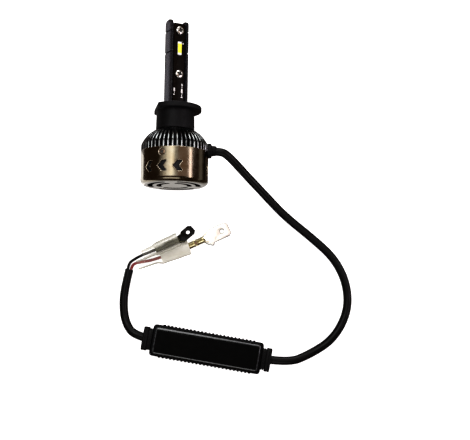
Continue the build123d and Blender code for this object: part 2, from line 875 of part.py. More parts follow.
black_blade_frame = bent_frame(black_terminal_frame, black_blade_turn)

with BuildPart() as black_terminal:
    flat_blade(black_blade_frame, black_blade_width, black_blade_end, black_blade_hole, None)
    wire_crimp(black_terminal_frame, black_barrels)

with BuildPart() as red_terminal:
    flat_blade(red_terminal_frame, red_blade_width, red_blade_end, red_blade_hole, red_barb)
    wire_crimp(red_terminal_frame, red_barrels)


def on_terminal(frame, distance):
    """Point on a terminal's wire axis."""
    return tuple(frame.origin + frame.x_dir * distance)


black_wire_route = [
    (-20.0, -68.04, cable_level),
    (-19.6, -65.7, cable_level),
    (-17.7, -64.3, -10.8),
    (-14.2, -62.6, -8.4),
    on_terminal(black_terminal_frame, -16.0),
    on_terminal(black_terminal_frame, wire_end),
]
red_wire_route = [
    (-18.6, -68.36, cable_level),
    (-18.17, -66.5, cable_level),
    (-16.7, -65.5, -12.2),
    (-13.8, -64.9, -11.9),
    (-9.6, -64.2, -11.8),
    (-3.4, -61.9, -11.9),
    (1.4, -60.0, -11.8),
    on_terminal(red_terminal_frame, -12.0),
    on_terminal(red_terminal_frame, wire_end),
]

with BuildPart() as black_wire:
    black_wire_length = tube(black_wire_route, wire_diameter)

with BuildPart() as red_wire:
    red_wire_length = tube(red_wire_route, wire_diameter)

# ---------------------------------------------------------------------------------------------
# Lengths and bends of the cables, and the files
# ---------------------------------------------------------------------------------------------
cords = (
    ("lamp_cable", lamp_cable, lamp_cable_route, lamp_cable_length, cable_diameter),
    ("supply_cable", supply_cable, supply_cable_route, supply_cable_length, cable_diameter),
    ("black_wire", black_wire, black_wire_route, black_wire_length, wire_diameter),
    ("red_wire", red_wire, red_wire_route, red_wire_length, wire_diameter),
)
for name, cord, route, length, diameter in cords:
    radii = [round(radius, 1) for radius in corner_radii(route)]
    section = pi * diameter**2 / 4
    share = cord.part.volume / (section * length)
    print(name, "length", round(length, 1), "radii", radii, "volume over section x length", round(share, 4))

pieces = {
    "lamp_core": lamp_core,
    "led_board_front": led_board_front,
    "led_board_back": led_board_back,
    "led_package_front": led_package_front,
    "led_package_back": led_package_back,
    "led_phosphor_front": led_phosphor_front,
    "led_phosphor_back": led_phosphor_back,
    "board_screws": board_screws,
    "mount_collar": mount_collar,
    "heatsink": heatsink,
    "fan_shell": fan_shell,
    "shell_screws": shell_screws,
    "fan_frame": fan_frame,
    "fan_circuit_board": fan_circuit_board,
    "fan_bearing": fan_bearing,
    "fan_stator": fan_stator,
    "fan_coils": fan_coils,
    "fan_shaft": fan_shaft,
    "fan_magnet": fan_magnet,
    "fan_impeller": fan_impeller,
    "led_leads": led_leads,
    "cable_gland": cable_gland,
    "lamp_cable": lamp_cable,
    "driver_case": driver_case,
    "driver_lid": driver_lid,
    "driver_board": driver_board,
    "driver_capacitor": driver_capacitor,
    "driver_inductor": driver_inductor,
    "driver_chip": driver_chip,
    "driver_small_parts": driver_small_parts,
    "driver_leads": driver_leads,
    "driver_boot_lamp": driver_boot_lamp,
    "driver_boot_supply": driver_boot_supply,
    "supply_cable": supply_cable,
    "black_wire": black_wire,
    "red_wire": red_wire,
    "black_terminal": black_terminal,
    "red_terminal": red_terminal,
    "black_sleeve": black_sleeve,
    "red_sleeve": red_sleeve,
}
for name, piece in pieces.items():
    piece.part.label = name
    export_step(piece.part, f"parts/{name}.step")
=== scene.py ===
import json
import math
import random

import bmesh
import bpy
from mathutils import Matrix, Vector
from mathutils.geometry import delaunay_2d_cdt


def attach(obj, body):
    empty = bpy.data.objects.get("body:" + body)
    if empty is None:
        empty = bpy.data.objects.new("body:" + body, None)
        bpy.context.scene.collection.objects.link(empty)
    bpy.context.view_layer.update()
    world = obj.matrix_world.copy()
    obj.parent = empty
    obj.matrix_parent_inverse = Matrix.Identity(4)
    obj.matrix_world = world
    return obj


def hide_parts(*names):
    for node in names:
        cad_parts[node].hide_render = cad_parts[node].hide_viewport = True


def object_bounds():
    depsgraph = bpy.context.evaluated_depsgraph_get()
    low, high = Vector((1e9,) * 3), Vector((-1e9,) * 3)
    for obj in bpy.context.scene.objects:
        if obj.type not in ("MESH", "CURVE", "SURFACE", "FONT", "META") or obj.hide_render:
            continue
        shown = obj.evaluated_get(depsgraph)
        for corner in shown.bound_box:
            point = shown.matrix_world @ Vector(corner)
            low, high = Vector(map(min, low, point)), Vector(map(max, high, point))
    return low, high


# LED headlight bulb, driver and blade terminals. Sizes below are in millimetres, in the frame of the CAD:
# +Y is the lamp axis, towards the LED tip, +Z is up and the origin is the centre of the flange's seat.

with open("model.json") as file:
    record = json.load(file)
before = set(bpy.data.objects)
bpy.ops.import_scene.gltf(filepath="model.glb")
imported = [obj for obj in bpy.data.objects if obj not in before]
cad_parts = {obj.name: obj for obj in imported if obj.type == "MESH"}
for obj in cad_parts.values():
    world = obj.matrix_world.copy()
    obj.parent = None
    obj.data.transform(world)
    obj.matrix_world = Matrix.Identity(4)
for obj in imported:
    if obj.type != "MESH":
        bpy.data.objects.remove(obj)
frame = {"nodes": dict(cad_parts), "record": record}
cad_low, cad_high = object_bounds()
MM = 0.001
FLOOR = cad_low.z / MM
scene = bpy.context.scene


# ---- Camera ----
def add_camera(place, tilt, roll, lens):
    """Looks straight down, then tilts its view towards +Y and rolls."""
    tilt, roll = math.radians(tilt), math.radians(roll)
    ahead = Vector((0, math.sin(tilt), -math.cos(tilt)))
    level_up = Vector((0, math.cos(tilt), math.sin(tilt)))
    level_right = Vector((1, 0, 0))
    right = level_right * math.cos(roll) + level_up * math.sin(roll)
    up = level_up * math.cos(roll) - level_right * math.sin(roll)
    data = bpy.data.cameras.new("camera")
    data.sensor_width = 36
    data.lens = lens
    data.clip_start = 0.01
    camera = bpy.data.objects.new("camera", data)
    turn = Matrix((right, up, -ahead)).transposed().to_4x4()
    camera.matrix_world = Matrix.Translation(Vector(place) * MM) @ turn
    scene.collection.objects.link(camera)
    scene.camera = camera


add_camera(place=(25.7, -94.4, 372.9), tilt=7.1, roll=0.6, lens=68.94)


# ---- Finishes ----
class Finish:
    """A material made of nodes. Its textures lie in the piece's own space, so they move with the piece."""

    def __init__(self, name, colour, metallic=0.0, roughness=0.5, **sockets):
        self.material = bpy.data.materials.new(name)
        self.material.use_nodes = True
        self.tree = self.material.node_tree
        self.shader = self.tree.nodes["Principled BSDF"]
        self.colour = (*colour, 1)
        self.roughness = roughness
        self.shader.inputs["Base Color"].default_value = self.colour
        self.shader.inputs["Metallic"].default_value = metallic
        self.shader.inputs["Roughness"].default_value = roughness
        for socket, value in sockets.items():
            self.shader.inputs[socket.replace("_", " ")].default_value = value
        self.place = self.node("ShaderNodeTexCoord").outputs["Object"]

    def node(self, kind, **values):
        made = self.tree.nodes.new(kind)
        for key, value in values.items():
            setattr(made, key, value)
        return made

    def wire(self, output, socket):
        self.tree.links.new(output, socket)

    def noise(self, size, detail=3.0, rough=0.55, stretch=(1, 1, 1), turn=(0, 0, 0)):
        """Noise with features of that size in mm, longer along an axis where its stretch is more."""
        mapping = self.node("ShaderNodeMapping", vector_type="TEXTURE")
        mapping.inputs["Scale"].default_value = [size * MM * s for s in stretch]
        mapping.inputs["Rotation"].default_value = [math.radians(t) for t in turn]
        texture = self.node("ShaderNodeTexNoise")
        texture.inputs["Scale"].default_value = 1
        texture.inputs["Detail"].default_value = detail
        texture.inputs["Roughness"].default_value = rough
        self.wire(self.place, mapping.inputs["Vector"])
        self.wire(mapping.outputs["Vector"], texture.inputs["Vector"])
        return texture.outputs["Fac"]

    def spots(self, size, radius):
        """1 inside small spots scattered about a size apart, and 0 elsewhere."""
        mapping = self.node("ShaderNodeMapping", vector_type="TEXTURE")
        mapping.inputs["Scale"].default_value = [size * MM] * 3
        cells = self.node("ShaderNodeTexVoronoi")
        cells.inputs["Scale"].default_value = 1
        self.wire(self.place, mapping.inputs["Vector"])
        self.wire(mapping.outputs["Vector"], cells.inputs["Vector"])
        return self.span(cells.outputs["Distance"], radius, radius * 0.6)

    def span(self, value, start, end, low=0.0, high=1.0):
        """Maps start to low and end to high, and holds them outside."""
        made = self.node("ShaderNodeMapRange")
        for socket, number in zip(made.inputs[1:5], (start, end, low, high)):
            socket.default_value = number
        self.wire(value, made.inputs[0])
        return made.outputs[0]

    def maths(self, operation, a, b):
        made = self.node("ShaderNodeMath", operation=operation)
        for value, socket in ((a, made.inputs[0]), (b, made.inputs[1])):
            if isinstance(value, (int, float)):
                socket.default_value = value
            else:
                self.wire(value, socket)
        return made.outputs[0]

    def mixed(self, share, a, b):
        """Colour that goes from a to b."""
        made = self.node("ShaderNodeMix", data_type="RGBA")
        self.wire(share, made.inputs["Factor"])
        for value, socket in ((a, made.inputs[6]), (b, made.inputs[7])):
            if isinstance(value, tuple):
                socket.default_value = (*value[:3], 1)
            else:
                self.wire(value, socket)
        return made.outputs[2]

    def paint(self, colour):
        self.wire(colour, self.shader.inputs["Base Color"])
        return self

    def gloss(self, roughness):
        self.wire(roughness, self.shader.inputs["Roughness"])
        return self

    def bump(self, height, depth):
        """Raises the surface by a height from 0 to 1, times a depth in mm."""
        made = self.node("ShaderNodeBump")
        made.inputs["Distance"].default_value = depth * MM
        before = self.shader.inputs["Normal"].links
        if before:
            self.wire(before[0].from_socket, made.inputs["Normal"])
        self.wire(height, made.inputs["Height"])
        self.wire(made.outputs["Normal"], self.shader.inputs["Normal"])
        return self

    def clouded(self, size, detail, low, high, dark, light):
        """Goes from dark to light over noise of that size, between two of its values."""
        return self.paint(self.mixed(self.span(self.noise(size, detail), low, high), dark, light))

    def worn(self, size, detail, low, high):
        """Roughness that wanders between two values over noise of that size."""
        return self.gloss(self.span(self.noise(size, detail), 0.3, 0.7, low, high))

    def varied(self, size, colour_share, roughness_share, depth, stretch=(1, 1, 1)):
        """Clouds the colour and the gloss a little, and adds a fine relief."""
        cloud = self.noise(size, stretch=stretch)
        darker = tuple(c * (1 - colour_share) for c in self.colour[:3])
        lighter = tuple(min(1, c * (1 + colour_share)) for c in self.colour[:3])
        self.paint(self.mixed(self.span(cloud, 0.3, 0.7), darker, lighter))
        low, high = self.roughness * (1 - roughness_share), self.roughness * (1 + roughness_share)
        self.gloss(self.span(self.noise(size * 0.6, stretch=stretch), 0.3, 0.7, low, high))
        return self.bump(self.noise(size * 0.15, detail=4), depth)


# Finishes with clouds in their colour and gloss and a fine relief: colour, metallic, roughness, specular
# level, and the clouds' size, shares and relief.
PLAIN_FINISHES = {
    "board_black": ((0.0036, 0.0022, 0.0013), 0.0, 0.3, 0.04, (1.4, 0.3, 0.25, 0.003)),
    "pad_tin": ((0.72, 0.72, 0.70), 0.9, 0.35, 0.5, (0.5, 0.15, 0.4, 0.02)),
    "led_ceramic": ((0.86, 0.86, 0.85), 0.0, 0.42, 0.5, (0.6, 0.05, 0.2, 0.003)),
    # recess_dark is painted shade: the inside of the screws' cross recesses gets this near-black steel in
    # place of the head's own steel.
    "recess_dark": ((0.05, 0.047, 0.042), 0.8, 0.5, 0.5, (0.4, 0.4, 0.3, 0.01)),
    "shell_screw": ((0.13, 0.085, 0.055), 0.95, 0.3, 0.5, (0.6, 0.4, 0.4, 0.006)),
    "heatsink_black": ((0.004, 0.004, 0.0045), 0.0, 0.42, 0.1, (1.5, 0.35, 0.25, 0.006)),
    # shell_inside is painted shade: a near-black finish for the inside of the shell cup, the eased edges
    # round its end slots and the grooves of the core's rails, where shade falls.
    "shell_inside": ((0.004, 0.004, 0.0038), 0.2, 0.6, 0.1, (2.0, 0.4, 0.2, 0.006)),
    "shell_edge": ((0.55, 0.47, 0.36), 1.0, 0.24, 0.5, (0.8, 0.3, 0.3, 0.004)),
    "fan_plastic": ((0.006, 0.006, 0.0065), 0.0, 0.45, 0.15, (2.0, 0.3, 0.2, 0.006)),
    "circuit_green": ((0.02, 0.15, 0.05), 0.0, 0.35, 0.5, (1.0, 0.3, 0.2, 0.006)),
    "bearing_bronze": ((0.42, 0.30, 0.15), 0.9, 0.4, 0.5, (0.3, 0.3, 0.2, 0.006)),
    "shaft_steel": ((0.62, 0.62, 0.64), 1.0, 0.18, 0.5, (0.5, 0.1, 0.4, 0.002)),
    "magnet_grey": ((0.07, 0.07, 0.075), 0.0, 0.55, 0.5, (0.4, 0.3, 0.2, 0.01)),
    "gland_rubber": ((0.002, 0.002, 0.0021), 0.0, 0.5, 0.12, (1.6, 0.3, 0.2, 0.012)),
    "lead_black": ((0.004, 0.004, 0.0045), 0.0, 0.36, 0.2, (1.2, 0.3, 0.2, 0.006)),
    "wire_red": ((0.22, 0.004, 0.005), 0.0, 0.36, 0.5, (1.2, 0.15, 0.2, 0.006)),
    "component_silver": ((0.62, 0.62, 0.63), 1.0, 0.3, 0.5, (0.8, 0.1, 0.3, 0.004)),
    "component_dark": ((0.03, 0.03, 0.033), 0.0, 0.5, 0.5, (0.6, 0.3, 0.2, 0.008)),
    "terminal_edge": ((0.13, 0.14, 0.09), 1.0, 0.36, 0.5, (0.5, 0.5, 0.3, 0.006)),
    "terminal_olive": ((0.045, 0.043, 0.016), 0.5, 0.45, 0.5, (0.6, 0.5, 0.3, 0.01)),
    "strand_tin": ((0.62, 0.56, 0.40), 1.0, 0.26, 0.5, (0.4, 0.35, 0.3, 0.006)),
}


def make_finishes():
    made = {}
    for name, (colour, metallic, roughness, specular, clouds) in PLAIN_FINISHES.items():
        f = Finish(name, colour, metallic, roughness, Specular_IOR_Level=specular)
        made[name] = f.varied(*clouds)

    f = Finish("core_anodised", (0.052, 0.058, 0.088), metallic=0.95, roughness=0.26)
    grain = f.noise(0.25, detail=5, stretch=(1, 14, 1))
    cloud = f.noise(2.2, detail=4)
    f.paint(f.mixed(f.span(cloud, 0.35, 0.7), (0.07, 0.075, 0.10), (0.125, 0.12, 0.15)))
    f.gloss(f.span(grain, 0.3, 0.7, 0.2, 0.32))
    made["core_anodised"] = f.bump(grain, 0.004)

    f = Finish("core_lip", (0.012, 0.012, 0.014), metallic=0.4, roughness=0.42, Specular_IOR_Level=0.1)
    f.paint(f.mixed(f.spots(0.45, 0.24), (0.006, 0.006, 0.007), (0.10, 0.10, 0.10)))
    made["core_lip"] = f.bump(f.noise(0.15, detail=4), 0.006)

    f = Finish("phosphor", (0.93, 0.88, 0.006), roughness=0.45, Coat_Weight=0.3, Coat_Roughness=0.12)
    dies = f.noise(0.5, detail=2)
    f.paint(f.mixed(f.span(dies, 0.35, 0.65), (0.86, 0.80, 0.004), (0.98, 0.95, 0.012)))
    made["phosphor"] = f.bump(f.noise(0.12, detail=3), 0.012)

    f = Finish("screw_steel", (0.80, 0.79, 0.72), metallic=1.0, roughness=0.38)
    f.worn(0.35, 4, 0.13, 0.34)
    f.clouded(0.8, 3, 0.3, 0.7, (0.58, 0.55, 0.48), (0.84, 0.83, 0.80))
    made["screw_steel"] = f.bump(f.noise(0.2, detail=5), 0.008)

    f = Finish("collar_black", (0.004, 0.004, 0.0045), roughness=0.6, Specular_IOR_Level=0.12)
    specks = f.spots(1.1, 0.10)
    f.paint(f.mixed(specks, (0.004, 0.004, 0.0045), (0.03, 0.03, 0.031)))
    f.worn(3.0, 4, 0.5, 0.66)
    made["collar_black"] = f.bump(f.noise(0.09, detail=5), 0.010)

    f = Finish("lip_grey", (0.02, 0.02, 0.021), metallic=0.5, roughness=0.48, Specular_IOR_Level=0.2)
    specks = f.spots(0.5, 0.3)
    f.paint(f.mixed(specks, (0.012, 0.012, 0.013), (0.16, 0.155, 0.15)))
    made["lip_grey"] = f.bump(f.noise(0.12, detail=4), 0.01)

    f = Finish("fin_crest", (0.3, 0.31, 0.32), metallic=1.0, roughness=0.17)
    wear = f.noise(1.9, detail=4, stretch=(0.6, 3, 0.6))
    f.paint(f.mixed(f.span(wear, 0.36, 0.66), (0.012, 0.012, 0.014), (0.40, 0.42, 0.42)))
    made["fin_crest"] = f.bump(f.noise(0.1, detail=4, stretch=(1, 6, 1)), 0.01)

    f = Finish("shell_bronze", (0.12, 0.10, 0.068), metallic=1.0, roughness=0.16)
    turned = f.noise(0.14, detail=3, stretch=(40, 1, 40))
    blotch = f.noise(3.2, detail=4, rough=0.6)
    f.paint(f.mixed(f.span(blotch, 0.3, 0.7), (0.105, 0.083, 0.052), (0.14, 0.122, 0.088)))
    fine = f.span(turned, 0.3, 0.7, 0.0, 0.05)
    coarse = f.span(blotch, 0.35, 0.65, 0.12, 0.18)
    f.gloss(f.maths("ADD", fine, coarse))
    made["shell_bronze"] = f.bump(turned, 0.0012)

    f = Finish("stator_steel", (0.34, 0.34, 0.36), metallic=0.9, roughness=0.4)
    layers = f.noise(0.3, detail=1, stretch=(60, 1, 60))
    made["stator_steel"] = f.varied(0.8, 0.3, 0.3, 0.004).bump(layers, 0.02)

    f = Finish("copper_wire", (0.62, 0.25, 0.10), metallic=0.9, roughness=0.3)
    turns = f.noise(0.15, detail=1, stretch=(1, 30, 1))
    made["copper_wire"] = f.varied(0.5, 0.25, 0.3, 0.004).bump(turns, 0.03)

    f = Finish("cable_jacket", (0.002, 0.002, 0.002), roughness=0.38, Specular_IOR_Level=0.12)
    f.worn(2.5, 4, 0.33, 0.45)
    f.clouded(6.0, 3, 0.35, 0.65, (0.0012, 0.0012, 0.0012), (0.0024, 0.0024, 0.0023))
    made["cable_jacket"] = f.bump(f.noise(0.22, detail=5), 0.012)

    f = Finish("driver_plastic", (0.0012, 0.0012, 0.0013), roughness=0.45, Specular_IOR_Level=0.06)
    f.worn(2.6, 5, 0.38, 0.52)
    made["driver_plastic"] = f.bump(f.noise(0.25, detail=3), 0.004)

    f = Finish("driver_gloss", (0.0016, 0.0022, 0.0024), roughness=0.1, Specular_IOR_Level=0.3)
    f.worn(2.6, 5, 0.07, 0.13)
    made["driver_gloss"] = f.bump(f.noise(6.0, detail=2), 0.004)

    f = Finish("driver_edge", (0.01, 0.011, 0.012), metallic=0.25, roughness=0.13, Specular_IOR_Level=1.0)
    f.clouded(1.2, 4, 0.35, 0.65, (0.008, 0.009, 0.01), (0.05, 0.055, 0.06))
    made["driver_edge"] = f.bump(f.noise(0.3, detail=3), 0.004)

    f = Finish("terminal_dark", (0.004, 0.0032, 0.0026), metallic=0.0, roughness=0.4, Specular_IOR_Level=0.08)
    f.paint(f.mixed(f.spots(0.5, 0.25), (0.003, 0.0022, 0.0016), (0.008, 0.0065, 0.005)))
    made["terminal_dark"] = f.bump(f.noise(0.3, detail=5), 0.006)

    f = Finish("terminal_bright", (0.88, 0.86, 0.80), metallic=1.0, roughness=0.4)
    f.clouded(1.8, 4, 0.35, 0.7, (0.80, 0.78, 0.70), (0.95, 0.94, 0.90))
    f.worn(0.7, 4, 0.33, 0.48)
    made["terminal_bright"] = f.bump(f.noise(0.25, detail=4), 0.005)

    f = Finish("terminal_brass", (0.42, 0.35, 0.17), metallic=1.0, roughness=0.3)
    f.clouded(0.6, 4, 0.35, 0.65, (0.24, 0.19, 0.08), (0.72, 0.66, 0.42))
    made["terminal_brass"] = f.bump(f.noise(0.35, detail=4), 0.03)

    for name, clear, hazy in (("sleeve_clear", 0.05, 0.95), ("sleeve_milky", 0.7, 0.95)):
        f = Finish(name, (0.8, 0.78, 0.68), roughness=0.16, IOR=1.45)
        f.worn(1.5, 4, 0.1, 0.24)
        edge = f.node("ShaderNodeLayerWeight")
        edge.inputs["Blend"].default_value = 0.5
        rim = f.span(edge.outputs["Facing"], 0.35, 0.72)
        milk = f.mixed(f.span(f.noise(3.0), 0.3, 0.7), (0.74, 0.73, 0.62), (0.86, 0.85, 0.76))
        # Towards the silhouette the base colour turns dark khaki by the Layer Weight facing: painted shade
        # along the tube's edges, over the plastic's milky colour.
        f.paint(f.mixed(rim, milk, (0.16, 0.15, 0.09)))
        haze = f.maths("ADD", edge.outputs["Facing"], f.span(f.noise(2.4), 0.35, 0.7, 0.0, 0.1))
        f.wire(f.span(haze, 0.2, 0.7, clear, hazy), f.shader.inputs["Alpha"])
        made[name] = f.bump(f.noise(2.2, detail=2), 0.015)

    glow = {"Emission_Color": (1, 1, 1, 1), "Emission_Strength": 0.75}
    f = Finish("floor_white", (0.86, 0.86, 0.86), roughness=0.85, **glow)
    made["floor_white"] = f.varied(8, 0.01, 0.05, 0.01)
    return {name: finish.material for name, finish in made.items()}


FINISHES = make_finishes()
NODE_FINISHES = {
    row["node"]: row["material_slot"] for row in frame["record"]["subparts"]
}
for node, finish in NODE_FINISHES.items():
    for place in frame["nodes"][node].material_slots:
        place.material = FINISHES[finish]


# ---- Cables and wires: each follows its route as one smooth curve ----
def curve_piece(name, node, routes, diameter, finish, resolution=14):
    """Round tubes that stand for a node, along smooth curves with the routes as their control points."""
    data = bpy.data.curves.new(name, "CURVE")
    data.dimensions = "3D"
    data.bevel_depth = diameter * MM / 2
    data.bevel_resolution = 6
    data.use_fill_caps = True
    for route in routes:
        spline = data.splines.new("NURBS")
        spline.points.add(len(route) - 1)
        for point, place in zip(spline.points, route):
            point.co = (*(Vector(place) * MM), 1)
        spline.order_u = 3
        spline.use_endpoint_u = True
        spline.resolution_u = resolution
        spline.use_smooth = True
    data.materials.append(FINISHES[finish])
    piece = bpy.data.objects.new(name, data)
    scene.collection.objects.link(piece)
    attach(piece, "lamp")
    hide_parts(node)
    return piece


CABLE = 3.6
WIRE = 1.3
CABLE_LEVEL = FLOOR + CABLE / 2

lamp_cable_route = [
    (11.0, -18.8, 0),
    (19.4, -18.8, 0),
    (22.4, -20.4, -1.2),
    (26.0, -23.6, -3.8),
    (30.6, -28.0, -7.4),
    (38.2, -35.2, -11.6),
    (47.0, -44.4, CABLE_LEVEL),
    (58.8, -53.8, CABLE_LEVEL),
    (68.4, -62.4, CABLE_LEVEL),
    (73.8, -73.2, CABLE_LEVEL),
    (74.3, -85.2, CABLE_LEVEL),
    (68.0, -97.0, CABLE_LEVEL),
    (57.6, -103.6, CABLE_LEVEL),
    (48.29, -107.16, -10.2),
    (34.57, -104.91, -10.2),
]
lamp_cable = curve_piece("lamp_cable_curve", "lamp_cable", [lamp_cable_route], CABLE, "cable_jacket")

supply_cable_route = [
    (-5.89, -98.29, -10.2),
    (-16.06, -96.62, -10.2),
    (-20.4, -91.0, CABLE_LEVEL),
    (-21.6, -83.4, CABLE_LEVEL),
    (-21.0, -75.6, CABLE_LEVEL),
    (-19.3, -68.2, CABLE_LEVEL),
]
supply_cable = curve_piece("supply_cable_curve", "supply_cable", [supply_cable_route], CABLE, "cable_jacket")

black_wire_route = [
    (-20.0, -68.04, CABLE_LEVEL),
    (-19.6, -65.7, CABLE_LEVEL),
    (-17.7, -64.3, -10.8),
    (-14.2, -62.6, -8.4),
    (-9.22, -60.67, -7.6),
    (1.47, -55.69, -7.6),
]
black_wire = curve_piece("black_wire_curve", "black_wire", [black_wire_route], WIRE, "lead_black")

red_wire_route = [
    (-18.6, -68.36, CABLE_LEVEL),
    (-18.17, -66.5, CABLE_LEVEL),
    (-16.7, -65.5, -12.2),
    (-13.8, -64.9, -11.9),
    (-9.6, -64.2, -11.8),
    (-3.4, -61.9, -11.9),
    (1.4, -60.0, -11.8),
    (5.1, -58.45, -11.66),
    (12.12, -55.1, -12.21),
]
red_wire = curve_piece("red_wire_curve", "red_wire", [red_wire_route], WIRE, "wire_red")


# ---- Building meshes ----
class Shape:
    """Points and faces in mm, gathered part by part, each face with the number of its finish."""

    def __init__(self):
        self.points, self.faces, self.looks = [], [], []

    def add(self, points, faces, look=0):
        start = len(self.points)
        self.points += [tuple(p) for p in points]
        self.faces += [[start + i for i in face] for face in faces]
        self.looks += [look] * len(faces)

    def loft(self, rings, look=0, caps=(True, True), closed=False):
        """Skin through rings that have the same number of points."""
        count, start = len(rings[0]), len(self.points)
        self.points += [tuple(p) for ring in rings for p in ring]
        pairs = list(zip(range(len(rings) - 1), range(1, len(rings))))
        if closed:
            pairs.append((len(rings) - 1, 0))
        for number, (a, b) in enumerate(pairs):
            face_look = look[number] if isinstance(look, list) else look
            for i in range(count):
                j = (i + 1) % count
                corners = (a * count + i, a * count + j, b * count + j, b * count + i)
                self.faces.append([start + c for c in corners])
                self.looks.append(face_look)
        for wanted, ring, at in ((caps[0], 0, 0), (caps[1], len(rings) - 1, -1)):
            if wanted and not closed:
                self.faces.append([start + ring * count + i for i in range(count)])
                self.looks.append(look[at] if isinstance(look, list) else look)

    def build(self, name, finishes, body="lamp", stands_for=(), crease=32, weld=0.0005):
        mesh = bpy.data.meshes.new(name)
        mesh.from_pydata([Vector(p) * MM for p in self.points], [], self.faces)
        mesh.polygons.foreach_set("material_index", self.looks)
        for finish in finishes:
            mesh.materials.append(FINISHES[finish])
        work = bmesh.new()
        work.from_mesh(mesh)
        bmesh.ops.remove_doubles(work, verts=work.verts, dist=weld * MM)
        bmesh.ops.dissolve_degenerate(work, edges=work.edges, dist=weld * MM / 2)
        bmesh.ops.recalc_face_normals(work, faces=work.faces)
        work.to_mesh(mesh)
        work.free()
        mesh.shade_smooth()
        mesh.set_sharp_from_angle(angle=math.radians(crease))
        piece = bpy.data.objects.new(name, mesh)
        scene.collection.objects.link(piece)
        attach(piece, body)
        if stands_for:
            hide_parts(*stands_for)
        return piece


def carve(piece, cutter):
    """Cuts one piece's shape out of another, and removes the cutter."""
    cut = piece.modifiers.new("cut", "BOOLEAN")
    cut.operation, cut.solver, cut.object = "DIFFERENCE", "EXACT", cutter
    bpy.context.view_layer.update()
    shown = piece.evaluated_get(bpy.context.evaluated_depsgraph_get())
    mesh = bpy.data.meshes.new_from_object(shown)
    piece.modifiers.clear()
    piece.data = mesh
    mesh.shade_smooth()
    mesh.set_sharp_from_angle(angle=math.radians(32))
    bpy.data.objects.remove(cutter)


def turned(x, y, degrees):
    c, s = math.cos(math.radians(degrees)), math.sin(math.radians(degrees))
    return x * c - y * s, x * s + y * c


def rounded_box(width, height, corner, steps=4, middle=(0, 0)):
    """Outline of a rectangle with round corners."""
    outline = []
    for sx, sy, start in ((1, 1, 0), (-1, 1, 90), (-1, -1, 180), (1, -1, 270)):
        for step in range(steps + 1):
            angle = math.radians(start + 90 * step / steps)
            x = sx * (width / 2 - corner) + corner * math.cos(angle)
            y = sy * (height / 2 - corner) + corner * math.sin(angle)
            outline.append((x + middle[0], y + middle[1]))
    return outline


def rounded(corners, radius, steps=4):
    """Outline whose corners are rounded, as far as its sides allow."""
    outline = []
    for i, here in enumerate(corners):
        here = Vector(here)
        before = Vector(corners[i - 1]) - here
        after = Vector(corners[(i + 1) % len(corners)]) - here
        half = before.angle(after) / 2
        cut = min(radius / math.tan(half), before.length * 0.45, after.length * 0.45)
        start, end = here + before.normalized() * cut, here + after.normalized() * cut
        for step in range(steps + 1):
            t = step / steps
            outline.append(tuple(start * (1 - t) ** 2 + here * (2 * t * (1 - t)) + end * t**2))
    return outline


def grown(outline, distance):
    """Outline moved outward by a distance. It goes round anticlockwise."""
    moved = []
    count = len(outline)
    for i in range(count):
        before, here, after = (Vector(outline[(i + k) % count]) for k in (-1, 0, 1))
        a, b = (here - before).normalized(), (after - here).normalized()
        out = Vector((a.y + b.y, -a.x - b.x))
        if out.length < 1e-6:
            out = Vector((a.y, -a.x))
        out.normalize()
        stretch = max(0.5, out.dot(Vector((a.y, -a.x))))
        moved.append(tuple(here + out * (distance / stretch)))
    return moved


def anticlockwise(outline):
    area = sum(
        a[0] * b[1] - b[0] * a[1] for a, b in zip(outline, outline[1:] + outline[:1])
    )
    return outline if area > 0 else outline[::-1]


def inside(point, outline):
    x, y = point
    odd = False
    for (ax, ay), (bx, by) in zip(outline, outline[1:] + outline[:1]):
        if (ay > y) != (by > y) and x < (bx - ax) * (y - ay) / (by - ay) + ax:
            odd = not odd
    return odd


def near(point, outline, distance):
    place = Vector(point)
    return any((Vector(p) - place).length_squared < distance**2 for p in outline)


def sheet_with_holes(boundary, holes, grid, clear):
    """Faces of a flat region with holes, with the grid points that are clear of the outlines."""
    kept = [
        p
        for p in grid
        if not any(inside(p, h) or near(p, h, clear) for h in holes)
    ]
    points, edges = [], []
    for outline in [boundary] + holes:
        start, count = len(points), len(outline)
        points += [Vector(p) for p in outline]
        edges += [(start + i, start + (i + 1) % count) for i in range(count)]
    points += [Vector(p) for p in kept]
    found, _, faces, *_ = delaunay_2d_cdt(points, edges, [], 1, 1e-5)
    flat = [tuple(p) for p in found]
    shown = []
    for face in faces:
        middle = [sum(flat[i][k] for i in face) / len(face) for k in (0, 1)]
        if not any(inside(middle, h) for h in holes):
            shown.append(list(face))
    return flat, shown


def frame_at(origin, x_dir, z_dir):
    """Function from local places to places in mm, with z along z_dir and x near x_dir."""
    z = Vector(z_dir).normalized()
    x = (Vector(x_dir) - z * Vector(x_dir).dot(z)).normalized()
    y = z.cross(x)
    start = Vector(origin)
    return lambda a, b, c=0.0: start + x * a + y * b + z * c


def moved(place, a, b):
    """The same frame, moved along its own x and y."""
    return lambda x, y, c=0.0: place(a + x, b + y, c)


def circle(radius, steps, x=0.0, y=0.0):
    """Points round a circle."""
    angles = [2 * math.pi * k / steps for k in range(steps)]
    return [(x + radius * math.cos(a), y + radius * math.sin(a)) for a in angles]


def lathe(shape, profile, place, steps=96, closed=True):
    """Turns a profile of (radius, along) about the local z."""
    rings = [[place(x, y, along) for x, y in circle(radius, steps)] for radius, along in profile]
    shape.loft(rings, closed=closed, caps=(not closed, not closed))


def stack(shape, place, layers, look=0):
    """Lofts flat outlines at heights along the local z."""
    rings = [[place(x, y, height) for x, y in outline] for outline, height in layers]
    shape.loft(rings, look=look)


